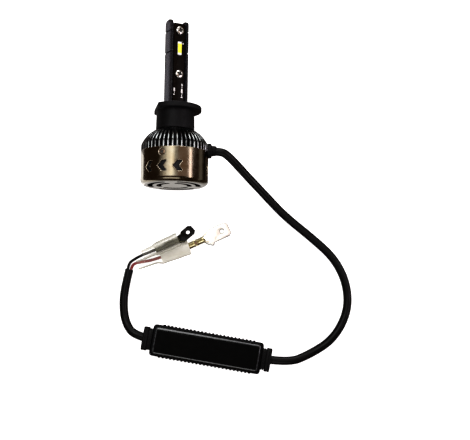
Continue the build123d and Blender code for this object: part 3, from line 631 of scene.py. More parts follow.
def eased_block(width, length, bottom, top, corner, ease):
    """Layers of a block with round upright corners and eased top and bottom edges."""
    layers = []
    turns = (0, 30, 60, 90)
    for t in turns:
        inset = ease * (1 - math.sin(math.radians(t)))
        layers.append((inset, bottom + ease * (1 - math.cos(math.radians(t)))))
    for t in turns[::-1]:
        inset = ease * (1 - math.sin(math.radians(t)))
        layers.append((inset, top - ease * (1 - math.cos(math.radians(t)))))
    return [
        (rounded_box(width - 2 * i, length - 2 * i, max(corner - i, 0.02)), height)
        for i, height in layers
    ]


# ---- Lamp core and LED boards ----
CORE_ROLL = math.radians(30)
CORE_ACROSS = Vector((math.cos(CORE_ROLL), 0, -math.sin(CORE_ROLL)))
CORE_NORMAL = Vector((math.sin(CORE_ROLL), 0, math.cos(CORE_ROLL)))
LAMP_AXIS = Vector((0, 1, 0))
BOARD_SCREW_LEVELS = (32.8, 13.7)
VENT_TURN = -17.7
SHELL_SCREW_LEVEL = -21.85
GLAND_LEVEL = -18.8


def on_core(across, out, level):
    return CORE_ACROSS * across + CORE_NORMAL * out + LAMP_AXIS * level


def along_lamp(x, z, level):
    """Place from X, Z and the level along the lamp."""
    return Vector((x, level, z))


def core_rail(shape, side):
    """Side rail with two grooves round its outer face and a round tip."""
    inner, outer, half, tip_radius, tip = 3.05, 4.2, 2.95, 2.0, 37.6
    groove_depth, groove_half, ease = 0.4, 0.25, 0.1
    stations = [(1.3, 0, half)]
    for level in (23.3, 32.6):
        edges = ((groove_half + ease, 0), (groove_half, ease), (groove_half - 0.02, groove_depth))
        stations += [(level - offset, cut, half) for offset, cut in edges]
        stations += [(level + offset, cut, half) for offset, cut in edges[::-1]]
    for step in range(9):
        angle = math.radians(90 * step / 8)
        level = tip - tip_radius + tip_radius * math.sin(angle)
        trim = 0.12 if step == 8 else 0
        stations.append((level, trim, half - tip_radius + tip_radius * math.cos(angle) - trim))
    rings = []
    for level, cut, reach in stations:
        width = outer - inner - cut
        outline = rounded_box(width, 2 * reach, 0.16, 3, ((inner + outer - cut) / 2, 0))
        rings.append([on_core(side * u, n, level) for u, n in outline])
    first = len(shape.looks)
    # The walls and floor of both grooves take the third finish, shell_inside: painted shade, near black, in
    # the grooves.
    painted_shade_pairs = (2, 3, 4, 8, 9, 10)
    shape.loft(rings, look=[2 if pair in painted_shade_pairs else 0 for pair in range(len(rings) - 1)])
    section = rounded_box(outer - inner, 2 * half, 0.16, 3, ((inner + outer) / 2, 0))
    on_lip = [min(abs(a[1]), abs(b[1])) > half - 0.1 for a, b in zip(section, section[1:] + section[:1])]
    for number in range((len(rings) - 1) * len(section)):
        if on_lip[number % len(section)] and shape.looks[first + number] == 0:
            shape.looks[first + number] = 1


def build_core():
    shape = Shape()
    for side in (1, -1):
        core_rail(shape, side)
    web = rounded_box(6.3, 3.5, 0.1, 2)
    rings = []
    for level, inset in ((1.3, 0), (36.0, 0), (36.1, 0.06)):
        rings.append([on_core(u * (1 - inset / 3), n * (1 - inset / 3), level) for u, n in web])
    shape.loft(rings)
    shape.build("core_stick", ["core_anodised", "core_lip", "shell_inside"], stands_for=["lamp_core"])
    root = Shape()
    lip = [(0, 1.3), (6.05, 1.3), (6.22, 1.25), (6.33, 1.1), (6.35, 0.95), (6.35, 0.12)]
    lip += [(6.28, 0.05), (6.0, 0.05), (6.0, -10.24), (4.5, -10.24), (4.5, -17), (0, -17)]
    lathe(root, lip, along_lamp)
    root.build("core_root", ["lip_grey"])


def build_board(side, name):
    """Board with a bevelled edge, a pad ring at each screw, and solder pads near its foot."""
    shape = Shape()
    width, foot, top, low, high = 5.2, 1.5, 36.1, 1.75, 2.55
    middle, length = (foot + top) / 2, top - foot

    place = frame_at(on_core(0, 0, 0), CORE_ACROSS * side, CORE_NORMAL * side)
    stack(shape, moved(place, 0, middle), eased_block(width, length, low, high, 0.25, 0.07))
    thickness = 0.035
    ring = [(2.05, high - 0.01), (2.05, high + 0.02), (1.98, high + thickness)]
    ring += [(1.3, high + thickness), (1.3, high - 0.01)]
    for level in BOARD_SCREW_LEVELS:
        lathe(shape, ring, moved(place, 0, level), steps=40)
    pads = [
        (-2.05, 6.9, 0.6, 1.5),
        (-2.15, 4.75, 0.75, 0.42),
        (-2.0, 5.5, 0.2, 0.6),
        (1.55, 9.3, 0.5, 0.9),
        (1.5, 6.6, 0.66, 2.1),
        (1.5, 3.9, 0.7, 0.5),
        (1.5, 4.9, 0.22, 1.1),
        (1.55, 8.3, 0.22, 0.9),
        (1.75, 27.3, 0.5, 0.6),
    ]
    for across, level, pad_width, pad_length in pads:
        corner = min(pad_width, pad_length) * 0.4
        layers = eased_block(pad_width, pad_length, high - 0.05, high + 0.1, corner, 0.07)
        stack(shape, moved(place, across, level), layers, look=1)
    for across, start, end in ((-2.2, 9.5, 19.0), (-0.9, 17.4, 21.2), (0.9, 17.4, 21.2), (2.2, 10.0, 24.0)):
        layers = eased_block(0.3, end - start, high - 0.02, high + thickness, 0.12, 0.02)
        stack(shape, moved(place, across, (start + end) / 2), layers)
    shape.build(name, ["board_black", "pad_tin"], stands_for=[f"led_{name}"])


def pan_heads(name, seats, radius, height, finish, stands_for):
    """Domed screw heads with a cross recess. A seat is a frame whose z faces out."""
    heads, recesses, cups = Shape(), Shape(), Shape()
    for place, spin in seats:
        dome = ((0, 0), (1, 0), (1, 0.5), (0.97, 0.72), (0.86, 0.88), (0.66, 0.95), (0.3, 1), (0, 1))
        lathe(heads, [(radius * r, height * h) for r, h in dome], place, steps=48)
        arm, slot, cup = radius * 0.74, radius * 0.17, radius * 0.5
        cross = [(arm, slot), (slot * 1.2, slot * 1.2), (slot, arm)]
        outline = []
        for quarter in range(4):
            outline += [turned(x, y, 90 * quarter + spin) for x, y in cross]
        top = [place(x * 1.1, y * 1.1, height * 1.3) for x, y in outline]
        deep = [place(x * 0.7, y * 0.7, height * 0.25) for x, y in outline]
        recesses.loft([deep, top])
        lathe(cups, [(cup * 0.7, height * 0.5), (cup * 1.3, height * 1.3)], place, steps=32, closed=False)
    # The faces that the cutters leave in the heads take recess_dark: painted shade inside each cross recess
    # and round its cup.
    made = heads.build(name, [finish, "recess_dark"], stands_for=stands_for)
    for number, cutter in enumerate((recesses, cups)):
        carve(made, cutter.build(f"{name}_cutter_{number}", ["recess_dark"]))


def build_screws():
    seats = []
    for side in (1, -1):
        for level, spin in zip(BOARD_SCREW_LEVELS, (20, 65)):
            origin = on_core(0, side * 2.58, level)
            seats.append((frame_at(origin, CORE_ACROSS * side, CORE_NORMAL * side), spin))
    pan_heads("board_screw_heads", seats, 1.7, 1.0, "screw_steel", ["board_screws"])
    seats = []
    for group in range(3):
        angle = math.radians(VENT_TURN + 120 * group)
        out = Vector((math.sin(angle), 0, math.cos(angle)))
        origin = out * 13.76 + LAMP_AXIS * SHELL_SCREW_LEVEL
        seats.append((frame_at(origin, LAMP_AXIS, out), 10 + 35 * group))
    pan_heads("shell_screw_heads", seats, 1.22, 0.3, "shell_screw", ["shell_screws"])


# ---- Mount collar, heatsink and fan shell ----
def build_collar():
    """Flange with one flat, and a neck with a fillet under it. Amounts on the rim are from its radius."""
    shape = Shape()
    steps = 180
    flat_turn = math.radians(90 - 11.5)
    flange_radius, flat_reach = 11.05, 8.25
    bore_top = [(6.05, -0.2), (6.55, -0.2), (6.55, -0.03), (6.58, 0)]
    rim = [(-0.35, 0), (-0.14, -0.06), (-0.04, -0.17), (0, -0.35)]
    rim += [(0, -1.75), (-0.04, -1.93), (-0.14, -2.04), (-0.35, -2.1)]
    neck = [(8.3, -2.1), (8.12, -2.16), (8.03, -2.3), (8.0, -2.5)]
    neck += [(8.15, -10.1), (8.08, -10.19), (6.05, -10.19)]
    profile = [(r, level, False) for r, level in bore_top]
    profile += [(r, level, True) for r, level in rim]
    profile += [(r, level, False) for r, level in neck]
    rings = []
    for amount, level, follows in profile:
        ring = []
        for k in range(steps):
            angle = 2 * math.pi * k / steps
            radius = amount
            if follows:
                radius = flange_radius + amount
                toward = math.cos(angle + flat_turn)
                if toward > 0.3:
                    radius = min(radius, (flat_reach + amount) / toward)
            ring.append((radius * math.sin(angle), level, radius * math.cos(angle)))
        rings.append(ring)
    shape.loft(rings, closed=True)
    shape.build("collar_body", ["collar_black"], body="collar", stands_for=["mount_collar"])


FIN_COUNT = 46
FIN_TOP = -10.24
SHELL_TOP = -19.56
SHELL_BOTTOM = -33.74
SHELL_RADIUS = 14.2


def fin_crest_line():
    """Radius and level of a fin's outer edge: an arc over the shoulder, then straight down."""
    a, b, c = Vector((7.9, FIN_TOP)), Vector((11.9, -13.2)), Vector((SHELL_RADIUS, -17.0))
    d = 2 * (a.x * (b.y - c.y) + b.x * (c.y - a.y) + c.x * (a.y - b.y))
    ux = (a.dot(a) * (b.y - c.y) + b.dot(b) * (c.y - a.y) + c.dot(c) * (a.y - b.y)) / d
    uy = (a.dot(a) * (c.x - b.x) + b.dot(b) * (a.x - c.x) + c.dot(c) * (b.x - a.x)) / d
    centre = Vector((ux, uy))
    start, end = (a - centre), (c - centre)
    first, last = math.atan2(start.y, start.x), math.atan2(end.y, end.x)
    line = []
    for step in range(13):
        angle = first + (last - first) * step / 12
        line.append(centre + Vector((math.cos(angle), math.sin(angle))) * start.length)
    line += [Vector((SHELL_RADIUS, level)) for level in (-17.6, -18.4, SHELL_TOP)]
    return line


def build_heatsink():
    shape = Shape()
    line = fin_crest_line()
    for fin in range(FIN_COUNT):
        middle = 2 * math.pi * (fin + 0.5) / FIN_COUNT
        out = Vector((math.cos(middle), 0, math.sin(middle)))
        side = Vector((-math.sin(middle), 0, math.cos(middle)))
        rings = []
        for i, here in enumerate(line):
            before, after = line[max(i - 1, 0)], line[min(i + 1, len(line) - 1)]
            run = (after - before).normalized()
            normal = Vector((-run.y, run.x))
            if normal.x + normal.y < 0:
                normal = -normal
            slot = 0.45 + 0.75 * (here.x - 7.4) / 7.8
            half = here.x * math.tan(math.pi / FIN_COUNT) - slot / 2
            section = [(7.2, here.y, -0.26), (7.2, here.y, 0.26)]
            for turn in range(0, 181, 20):
                place = here - normal * half * (1 - math.sin(math.radians(turn)))
                section.append((place.x, place.y, half * math.cos(math.radians(turn))))
            rings.append([out * r + LAMP_AXIS * y + side * t for r, y, t in section])
        start = len(shape.looks)
        shape.loft(rings)
        for number in range(start, len(shape.looks) - 2):
            edge = (number - start) % 12
            if 4 <= edge <= 8:
                shape.looks[number] = 1
    lathe(shape, [(0.1, FIN_TOP), (7.5, FIN_TOP), (7.5, SHELL_TOP), (0.1, SHELL_TOP)], along_lamp)
    ring = [(12.2, SHELL_TOP), (13.35, SHELL_TOP), (13.35, -23.2)]
    ring += [(13.25, -23.3), (12.3, -23.3), (12.2, -23.2)]
    lathe(shape, ring, along_lamp)
    shape.build("heatsink_fins", ["heatsink_black", "fin_crest"], stands_for=["heatsink"], crease=40)


def shell_chevron(middle):
    """Outline of a chevron vent on the unrolled wall, round a distance along the wall."""
    corners = [(-2.0, 0), (0, 2.25), (1.7, 2.25), (2.0, 1.9), (0.6, 0), (2.0, -1.9), (1.7, -2.25), (0, -2.25)]
    outline = rounded([(middle + x, -27.5 + y) for x, y in corners], 0.22, 3)
    return anticlockwise(outline)


def arc_slot(radius, width, middle, span, steps=26):
    """Outline of a curved slot with round ends, in the plane of the shell's end."""
    outline = []
    half = math.radians(span) / 2
    centre = math.radians(middle)

    def at(r, a):
        return (r * math.cos(a), r * math.sin(a))

    for k in range(steps + 1):
        outline.append(at(radius + width / 2, centre - half + 2 * half * k / steps))
    for sign, angle in ((1, centre + half), (-1, centre - half)):
        x, y = at(radius, angle)
        for k in range(1, 8):
            turn = angle + (0 if sign > 0 else math.pi) + math.pi * k / 8
            outline.append((x + width / 2 * math.cos(turn), y + width / 2 * math.sin(turn)))
        if sign > 0:
            for m in range(steps, -1, -1):
                outline.append(at(radius - width / 2, centre - half + 2 * half * m / steps))
    return anticlockwise(outline)


def edge_of_hole(shape, hole, place, ease, depth, look, floor_look=None):
    """Eased edge and wall of a hole that was cut with its outline grown by the ease."""
    rings = []
    for growth, sink in ((1, 0), (0.5, 0.08), (0.14, 0.4), (0, 1), (0, depth / ease)):
        rings.append([place(x, y, sink * ease) for x, y in grown(hole, growth * ease)])
    shape.loft(rings, look=[look, look, look, 0], caps=(False, False))
    if floor_look is not None:
        start = len(shape.points)
        shape.points += [tuple(p) for p in rings[-1]]
        shape.faces.append([start + i for i in range(len(hole))])
        shape.looks.append(floor_look)


def build_shell():
    """Cup with an eased rim, chevron vents, screw recesses and a slotted end."""
    shape = Shape()
    wall, corner, ease, steps = 0.8, 2.0, 0.14, 180
    round_length = 2 * math.pi * SHELL_RADIUS
    corner_level = SHELL_BOTTOM + corner

    def rim(distance):
        """Level of the wall's top, lower where the cable gland's barrel passes."""
        offset = abs(distance - round_length / 4)
        reach = 2.5
        if offset < math.sqrt(reach**2 - 0.76**2):
            return min(SHELL_TOP, GLAND_LEVEL - math.sqrt(reach**2 - offset**2))
        return SHELL_TOP

    def on_wall(x, y, sink):
        angle = x / SHELL_RADIUS
        return ((SHELL_RADIUS - sink) * math.sin(angle), y, (SHELL_RADIUS - sink) * math.cos(angle))

    seam = -round_length / 2
    around = [seam + round_length * k / steps for k in range(steps + 1)]
    vents, recesses = [], []
    for group in range(3):
        middle = VENT_TURN + 120 * group
        if middle > 180:
            middle -= 360
        for step in (-1, 0, 1):
            turn = (middle + step * 26.6 + 180) % 360 - 180
            vents.append(shell_chevron(math.radians(turn) * SHELL_RADIUS))
        centre = math.radians(middle) * SHELL_RADIUS
        recesses.append(circle(1.35, 36, centre, SHELL_SCREW_LEVEL))
    boundary = [(x, corner_level) for x in around] + [(x, rim(x) - ease) for x in reversed(around)]
    grid = [
        (seam + round_length * (i + 0.5) / steps, corner_level + (SHELL_TOP - corner_level) * j / 12)
        for i in range(steps)
        for j in range(1, 12)
    ]
    grid = [p for p in grid if p[1] < rim(p[0]) - ease - 0.3]
    cut = [grown(hole, ease) for hole in vents + recesses]
    flat, faces = sheet_with_holes(boundary, cut, grid, 0.3)
    shape.add([on_wall(x, y, 0) for x, y in flat], faces)
    for hole in vents:
        edge_of_hole(shape, hole, on_wall, ease, wall, 1)
    for hole in recesses:
        edge_of_hole(shape, hole, on_wall, ease, 0.45, 1, floor_look=0)
    boundary = [(x, corner_level) for x in around] + [(x, rim(x)) for x in reversed(around)]
    flat, faces = sheet_with_holes(boundary, vents, grid, 0.3)
    shape.add([on_wall(x, y, wall) for x, y in flat], faces, 2)
    lip = [(0, -1), (0.05, -0.6), (0.3, -0.25), (0.6, -0.05), (1, 0), (wall / ease, 0)]
    rings = [
        [on_wall(x, rim(x) + rise * ease, sink * ease) for x in around[:-1]]
        for sink, rise in lip
    ]
    shape.loft(rings, caps=(False, False), look=[1, 1, 1, 1, 0])
    for radius, look in ((corner, 0), (corner - wall, 2)):
        rings = []
        for step in range(11):
            angle = math.radians(90 * step / 10)
            reach = SHELL_RADIUS - corner + radius * math.cos(angle)
            level = corner_level - radius * math.sin(angle)
            turns = [x / SHELL_RADIUS for x in around[:-1]]
            rings.append([(reach * math.sin(t), level, reach * math.cos(t)) for t in turns])
        shape.loft(rings, look=look, caps=(False, False))

    def on_end(x, z, sink):
        return (x, SHELL_BOTTOM + sink, z)

    slots = []
    first_slot = 154
    for ring_radius, slot_width, span in ((10.1, 2.0, 81), (6.4, 1.9, 84)):
        for group in range(3):
            slots.append(arc_slot(ring_radius, slot_width, first_slot + 120 * group, span))
    edge_radius = SHELL_RADIUS - corner
    boundary = [(edge_radius * math.sin(t), edge_radius * math.cos(t)) for t in turns]
    grid = [
        turned(radius, 0, 360 * k / 48 + radius * 7)
        for radius in (1.5, 3.0, 4.4, 8.2)
        for k in range(48)
    ] + [(0, 0)]
    cut = [grown(hole, ease) for hole in slots]
    flat, faces = sheet_with_holes(boundary, cut, grid, 0.25)
    shape.add([on_end(x, z, 0) for x, z in flat], faces)
    flat, faces = sheet_with_holes(boundary, slots, grid, 0.25)
    shape.add([on_end(x, z, wall) for x, z in flat], faces, 2)
    for hole in slots:
        edge_of_hole(shape, hole, on_end, ease, wall, 2)
    # The third finish, shell_inside, is painted shade: it darkens the inner wall, the inner corner, the inner
    # end and the eased edges round the end slots to near black.
    finishes = ["shell_bronze", "shell_edge", "shell_inside"]
    shape.build("shell_cup", finishes, stands_for=["fan_shell"], crease=38, weld=0.002)


build_core()
build_board(1, "board_front")
build_board(-1, "board_back")
build_screws()
build_collar()
build_heatsink()
build_shell()


# ---- Cable gland, driver and its boots ----
def plate(shape, place, boundary, holes, low, high, ease, edge_look):
    """Flat plate with eased edges in a look of their own. Outlines go round anticlockwise."""
    outer, cut = grown(boundary, -ease), [grown(hole, ease) for hole in holes]
    for level in (high, low):
        flat, faces = sheet_with_holes(outer, cut, [], 0.1)
        shape.add([place(x, y, level) for x, y in flat], faces)
    turns = ((1, 0), (0.3, 0.3), (0, 1))
    layers = [(share * ease, low + rise * ease) for share, rise in turns]
    layers += [(share * ease, high - rise * ease) for share, rise in turns[::-1]]
    for outline, sign in [(boundary, -1)] + [(hole, 1) for hole in holes]:
        rings = [[place(x, y, level) for x, y in grown(outline, sign * grow)] for grow, level in layers]
        shape.loft(rings, look=edge_look, caps=(False, False))


def build_gland():
    """Strain relief with a flange outside the heatsink and fine ridges that taper to the cable."""
    shape = Shape()
    place = frame_at((0, GLAND_LEVEL, 0), LAMP_AXIS, (1, 0, 0))
    profile = [(1.8, 10.2), (2.9, 10.2), (3.0, 10.3), (3.0, 11.1), (2.9, 11.2), (2.45, 11.2)]
    profile += [(2.45, 13.8), (3.03, 13.8), (3.12, 13.86), (3.15, 13.98), (3.15, 15.05), (3.08, 15.3)]
    profile += [(2.9, 15.46), (2.7, 15.5), (2.42, 15.5), (2.36, 15.56)]
    for ridge in range(3):
        start = 15.75 + 0.6 * ridge
        radius = 2.34 - 0.09 * ridge
        groove = ((0, 0), (0.09, 0.08), (0.1, 0.28), (0.02, 0.36))
        profile += [(radius - inset, start + step) for inset, step in groove]
    profile += [(2.05, 17.48), (1.99, 17.58), (1.9, 17.6), (1.8, 17.6)]
    lathe(shape, profile, place, steps=72)
    return shape.build("gland_body", ["gland_rubber"], stands_for=["cable_gland"])


DRIVER_TURN = math.radians(-9.3)
DRIVER_ALONG = Vector((math.cos(DRIVER_TURN), math.sin(DRIVER_TURN), 0))
DRIVER_OVER = Vector((-math.sin(DRIVER_TURN), math.cos(DRIVER_TURN), 0))
DRIVER_CENTRE = Vector((14.34, -101.6, FLOOR))
DRIVER_LENGTH, DRIVER_WIDTH, CASE_TOP = 47.0, 13.3, 7.0
LID_LENGTH, LID_WIDTH, LID_TOP = 44.6, 11.1, 8.6
WIRE_HEIGHT = 4.0
UP = Vector((0, 0, 1))
in_driver = frame_at(DRIVER_CENTRE, DRIVER_ALONG, UP)


def driver_end(side):
    """Frame at the cable's level on one end of the driver, with z out of it and y up."""
    origin = in_driver(side * DRIVER_LENGTH / 2, 0, WIRE_HEIGHT)
    return frame_at(origin, DRIVER_OVER * side, DRIVER_ALONG * side)


def quarter_turn(radius, turns):
    """Inset and rise of points on a round edge."""
    angles = [math.radians(turn) for turn in turns]
    return [(radius * (1 - math.cos(a)), radius * math.sin(a)) for a in angles]


def build_driver():
    """Ribbed case with a hole in each end wall, and the glossy lid with its rounded edge."""
    case = Shape()
    layers = [(0.4, 0), (0.16, 0.06), (0.04, 0.2), (0, 0.4), (0, 6.3), (0.03, 6.5), (0.12, 6.68)]
    layers += [(0.26, 6.83), (0.44, 6.94), (0.66, CASE_TOP), (1.2, CASE_TOP), (1.2, 1.0)]
    rings = []
    for inset, height in layers:
        size = DRIVER_LENGTH - 2 * inset, DRIVER_WIDTH - 2 * inset
        outline = rounded_box(*size, max(1.3 - inset, 0.5), 6)
        rings.append([in_driver(x, y, height) for x, y in outline])
    case.loft(rings)
    rib_layers = eased_block(0.8, 0.88, 0.9, 5.7, 0.22, 0.2)
    for side in (1, -1):
        for rib in range(25):
            def rib_place(a, b, c, middle=1.6 * (rib - 12), side=side):
                return in_driver(middle + a, side * (DRIVER_WIDTH / 2 - 0.05 + b), c)

            stack(case, rib_place, rib_layers)
    made = case.build("driver_housing", ["driver_plastic"], stands_for=["driver_case"])
    cutter = Shape()
    for side in (1, -1):
        lathe(cutter, [(2.5, -1.6), (2.5, 0.4)], driver_end(side), steps=40, closed=False)
    carve(made, cutter.build("driver_cutter", ["driver_plastic"]))

    lid = Shape()
    layers = [(0.08, CASE_TOP), (0, CASE_TOP + 0.08), (0, 8.0)]
    layers += [(inset, 8.0 + rise) for inset, rise in quarter_turn(0.6, (15, 30, 45, 60, 75, 90))]
    layers.append((1.7, LID_TOP))
    rings = []
    for inset, height in layers:
        outline = rounded_box(LID_LENGTH - 2 * inset, LID_WIDTH - 2 * inset, max(1.1 - inset, 0.4), 6)
        rings.append([in_driver(x, y, height) for x, y in outline])
    lid.loft(rings, look=[1 if 3 <= pair <= 7 else 0 for pair in range(len(rings) - 1)])
    for side in (1, -1):
        stack(lid, moved(in_driver, 0, side * 5.0), eased_block(36, 0.8, 5.8, 7.05, 0.2, 0.1))
    return made, lid.build("driver_cover", ["driver_gloss", "driver_edge"], stands_for=["driver_lid"])


def build_boot(side, name, node):
    """Boot that plugs into the end wall, with a grooved waist and a rounded flange outside it."""
    shape = Shape()
    place = driver_end(side)
    width, height, corner, steps = 10.0, 7.2, 1.8, 8

    def box_ring(inset, distance):
        outline = rounded_box(width - 2 * inset, height - 2 * inset, corner - 0.5 * inset, steps)
        return [place(x, y, distance) for x, y in outline]

    def circle_ring(radius, distance):
        outline = rounded_box(width, height, corner, steps)
        return [
            place(radius * x / math.hypot(x, y), radius * y / math.hypot(x, y), distance)
            for x, y in outline
        ]

    rings = [circle_ring(1.8, -1.8), circle_ring(2.9, -1.8), circle_ring(2.9, -1.2)]
    rings += [circle_ring(2.45, -1.2), circle_ring(2.45, 0.0)]
    waist = [(0.42, 0.0), (0.42, 0.4), (0.75, 0.46), (0.75, 0.72), (0.42, 0.78), (0.42, 1.18)]
    waist += [(0.75, 1.24), (0.75, 1.5), (0.36, 1.56)]
    flange = [(0.14, 1.64), (0.03, 1.8), (0, 2.0), (0, 2.5), (0.22, 2.58), (0.22, 2.78), (0, 2.86), (0, 3.36)]
    flange += [(0.06, 3.56), (0.2, 3.72), (0.42, 3.8)]
    rings += [box_ring(inset, distance) for inset, distance in waist + flange]
    rings += [circle_ring(2.15, 3.8), circle_ring(1.95, 3.74), circle_ring(1.8, 3.55)]
    shape.loft(rings, closed=True)
    return shape.build(name, ["gland_rubber"], stands_for=[node], crease=40)


# ---- Blade terminals and their clear sleeves ----
def heading_frame(origin, heading, pitch, lean):
    """Frame with x along a heading, pitched up, and leaning over to its left."""
    turn, rise, over = math.radians(heading), math.radians(pitch), math.radians(lean)
    ahead = Vector((math.cos(turn) * math.cos(rise), math.sin(turn) * math.cos(rise), math.sin(rise)))
    left = Vector((-math.sin(turn), math.cos(turn), 0))
    up = ahead.cross(left)
    return frame_at(origin, ahead, up * math.cos(over) + left * math.sin(over))


def blade_outline(width, end, barb):
    """Blade with chamfered corners, shoulders and a narrow neck, and a barb on one side if it has one."""
    half = width / 2
    outline = [(-4.2, 1.4), (-4.2, -1.4), (-3.5, -1.4 - 0.55 * (half - 1.4)), (-2.8, -half)]
    if barb:
        level, radius = barb
        outline += circle(radius, 20, level, -half)[10:]
        outline.append((level + radius, -half))
    tip = [(end - 1.2, -half), (end, 1.0 - half), (end, half - 1.0), (end - 1.2, half)]
    corners = [(end - 3, -half)] + tip + [(end - 3, half)]
    outline += rounded(corners, 0.35, 4)[5:-5]
    return outline + [(-1.0, half), (-1.8, 0.7 * half), (-2.9, 0.2 * half + 1.1)]


def crimp_ring(place, distance, radius, flare, height=0.0):
    """Section of a barrel whose two wings meet in a seam along its top."""
    ring = []
    for k in range(40):
        angle = 2 * math.pi * k / 40
        across, up = math.cos(angle), math.sin(angle)
        seam = 0.42 * math.exp(-(((angle - math.pi / 2) / 0.26) ** 2))
        reach = radius * flare * (1 - seam)
        ring.append(place(distance, reach * across, height + max(reach * up, -radius * 0.985)))
    return ring


def channel(shape, place, stations):
    """Folded channel that holds the crimp and opens out into the blade's neck."""
    rings = []
    thick = 0.32
    for distance, half, foot, top in stations:
        section = [(-half, foot + 0.12), (-half + 0.12, foot), (half - 0.12, foot), (half, foot + 0.12)]
        section += [(half, top), (half - thick, top), (half - thick, foot + 0.6)]
        section += [(-half + thick, foot + 0.6), (-half + thick, top), (-half, top)]
        rings.append([place(distance, y, c) for y, c in section])
    shape.loft(rings, look=1)


def build_terminal(name, node, wire_place, blade_place, blade, crimps, finishes):
    """Blade with eased edges and a thinner tip, two folded crimps, and the wire's strands between them."""
    shape = Shape()
    width, end, (hole_level, hole_radius), barb = blade
    hole = circle(hole_radius, 32, hole_level)

    def tapered(x, y, c):
        taper = max(0.0, x - end + 1.6) / 1.6 * 0.45
        return blade_place(x, y, -0.5 + (c + 0.5) * (1 - taper))

    outline = blade_outline(width, end, barb)
    plate(shape, tapered, outline, [anticlockwise(hole)], -0.9, -0.1, 0.26, edge_look=3)
    waves = [(0, 1.0), (0.06, 1.0), (0.16, 0.95), (0.3, 0.92), (0.42, 0.96), (0.55, 0.92), (0.68, 0.96)]
    waves += [(0.82, 0.94), (0.94, 1.0), (1, 1.0)]
    for start, length in crimps:
        rings = [crimp_ring(wire_place, start + length * share, 1.5, flare) for share, flare in waves]
        inner = [crimp_ring(wire_place, start + length * share, 1.5, 0.62) for share in (1, 0)]
        shape.loft(rings + inner, look=1, closed=True)
    first = crimps[0][0]
    gap_start, gap_end = first + crimps[0][1], crimps[1][0]
    stations = [
        (first + 0.1, 0.8, -1.5, -0.5),
        (gap_start - 0.2, 1.0, -1.5, -0.3),
        (gap_start, 1.3, -1.5, 0.35),
        (gap_end, 1.3, -1.5, 0.35),
        (gap_end + 0.2, 1.0, -1.5, -0.3),
        (-4.2, 1.25, -1.45, 0.1),
        (-3.4, 1.6, -1.15, 0.45),
        (-2.6, 1.9, -0.95, 0.2),
        (-1.8, 2.2, -0.92, -0.12),
    ]
    channel(shape, wire_place, stations)
    for strand in range(7):
        angle = 2 * math.pi * strand / 6
        away = 0.0 if strand == 6 else 0.55
        rings = []
        cut_end = -3.5 + 0.25 * math.sin(5 * strand)
        for distance in (gap_start - 0.4, (gap_start + gap_end) / 2, gap_end + 0.4, -4.6, cut_end):
            twist = angle + 0.35 * distance
            y, c = away * math.cos(twist), away * math.sin(twist) - 0.05
            rings.append([wire_place(distance, a, b) for a, b in circle(0.24, 8, y, c)])
        shape.loft(rings, look=2)
    return shape.build(name, finishes, stands_for=[node], weld=0.001)


def build_sleeve(name, node, place, body, neck, seed, finishes):
    """Soft clear tube: flattened over the terminal, drawn in to a neck round the wire."""
    shape = Shape()
    draw = random.Random(seed)
    wall = 0.3
    stations = [(-body - 3 - neck, 4.2, 3.8)]
    stations += [(-body - 3 - neck * (1 - share), 4.2, 3.8) for share in (0.25, 0.5, 0.75, 0.95)]
    bows = ((0.15, 0.06), (0.4, 0.32), (0.7, 0.72), (0.92, 0.95))
    stations += [(-body - 3 + 3 * share, 4.2 + 2.2 * bow, 3.8 + 0.8 * bow) for share, bow in bows]
    lengths = (0.02, 0.15, 0.3, 0.45, 0.6, 0.75, 0.88, 0.97, 1)
    stations += [(-body + body * share, 6.4, 4.6) for share in lengths]
    steps = 48
    phases = [draw.uniform(0, 2 * math.pi) for _ in range(3)]

    def ring(distance, width, height, shrink):
        section = []
        ends = min(1.0, 0.3 - distance / 2.5)
        for k in range(steps):
            angle = 2 * math.pi * k / steps
            across = math.copysign(abs(math.cos(angle)) ** 0.72, math.cos(angle))
            up = math.copysign(abs(math.sin(angle)) ** 0.8, math.sin(angle))
            dent = 0.10 * math.sin(distance * 0.55 + phases[0] + 2 * angle)
            dent += 0.07 * math.sin(distance * 0.9 + phases[1] - 3 * angle)
            dent = (dent - 0.17) * max(0.0, ends)
            half_width, half_height = width / 2 - shrink, height / 2 - shrink
            section.append(place(distance, (half_width + 0.35 * dent) * across, (half_height + dent) * up))
        return section

    outer = [ring(distance, width, height, 0) for distance, width, height in stations]
    inner = [ring(distance, width, height, wall) for distance, width, height in stations[::-1]]
    neck_looks, body_looks = [0] * 8, [1] * (len(stations) - 9)
    looks = neck_looks + body_looks + [1] + body_looks + neck_looks + [0]
    shape.loft(outer + inner, closed=True, look=looks)
    return shape.build(name, finishes, stands_for=[node], crease=60)


gland_body = build_gland()
driver_housing, driver_cover = build_driver()
boot_lamp = build_boot(1, "boot_lamp_side", "driver_boot_lamp")
boot_supply = build_boot(-1, "boot_supply_side", "driver_boot_supply")
BLACK_ORIGIN, BLACK_HEADING, BLACK_LEAN, BLACK_TURN = Vector((5.28, -53.91, -7.6)), 25, 15, 17
black_wire_place = heading_frame(BLACK_ORIGIN, BLACK_HEADING, 0, BLACK_LEAN)
NECK = -3.4


def black_blade_place(x, y, c):
    """Place on the black wire's blade, which is bent sideways at its neck."""
    along, over = turned(x - NECK, y, BLACK_TURN)
    return black_wire_place(along + NECK, over, c)


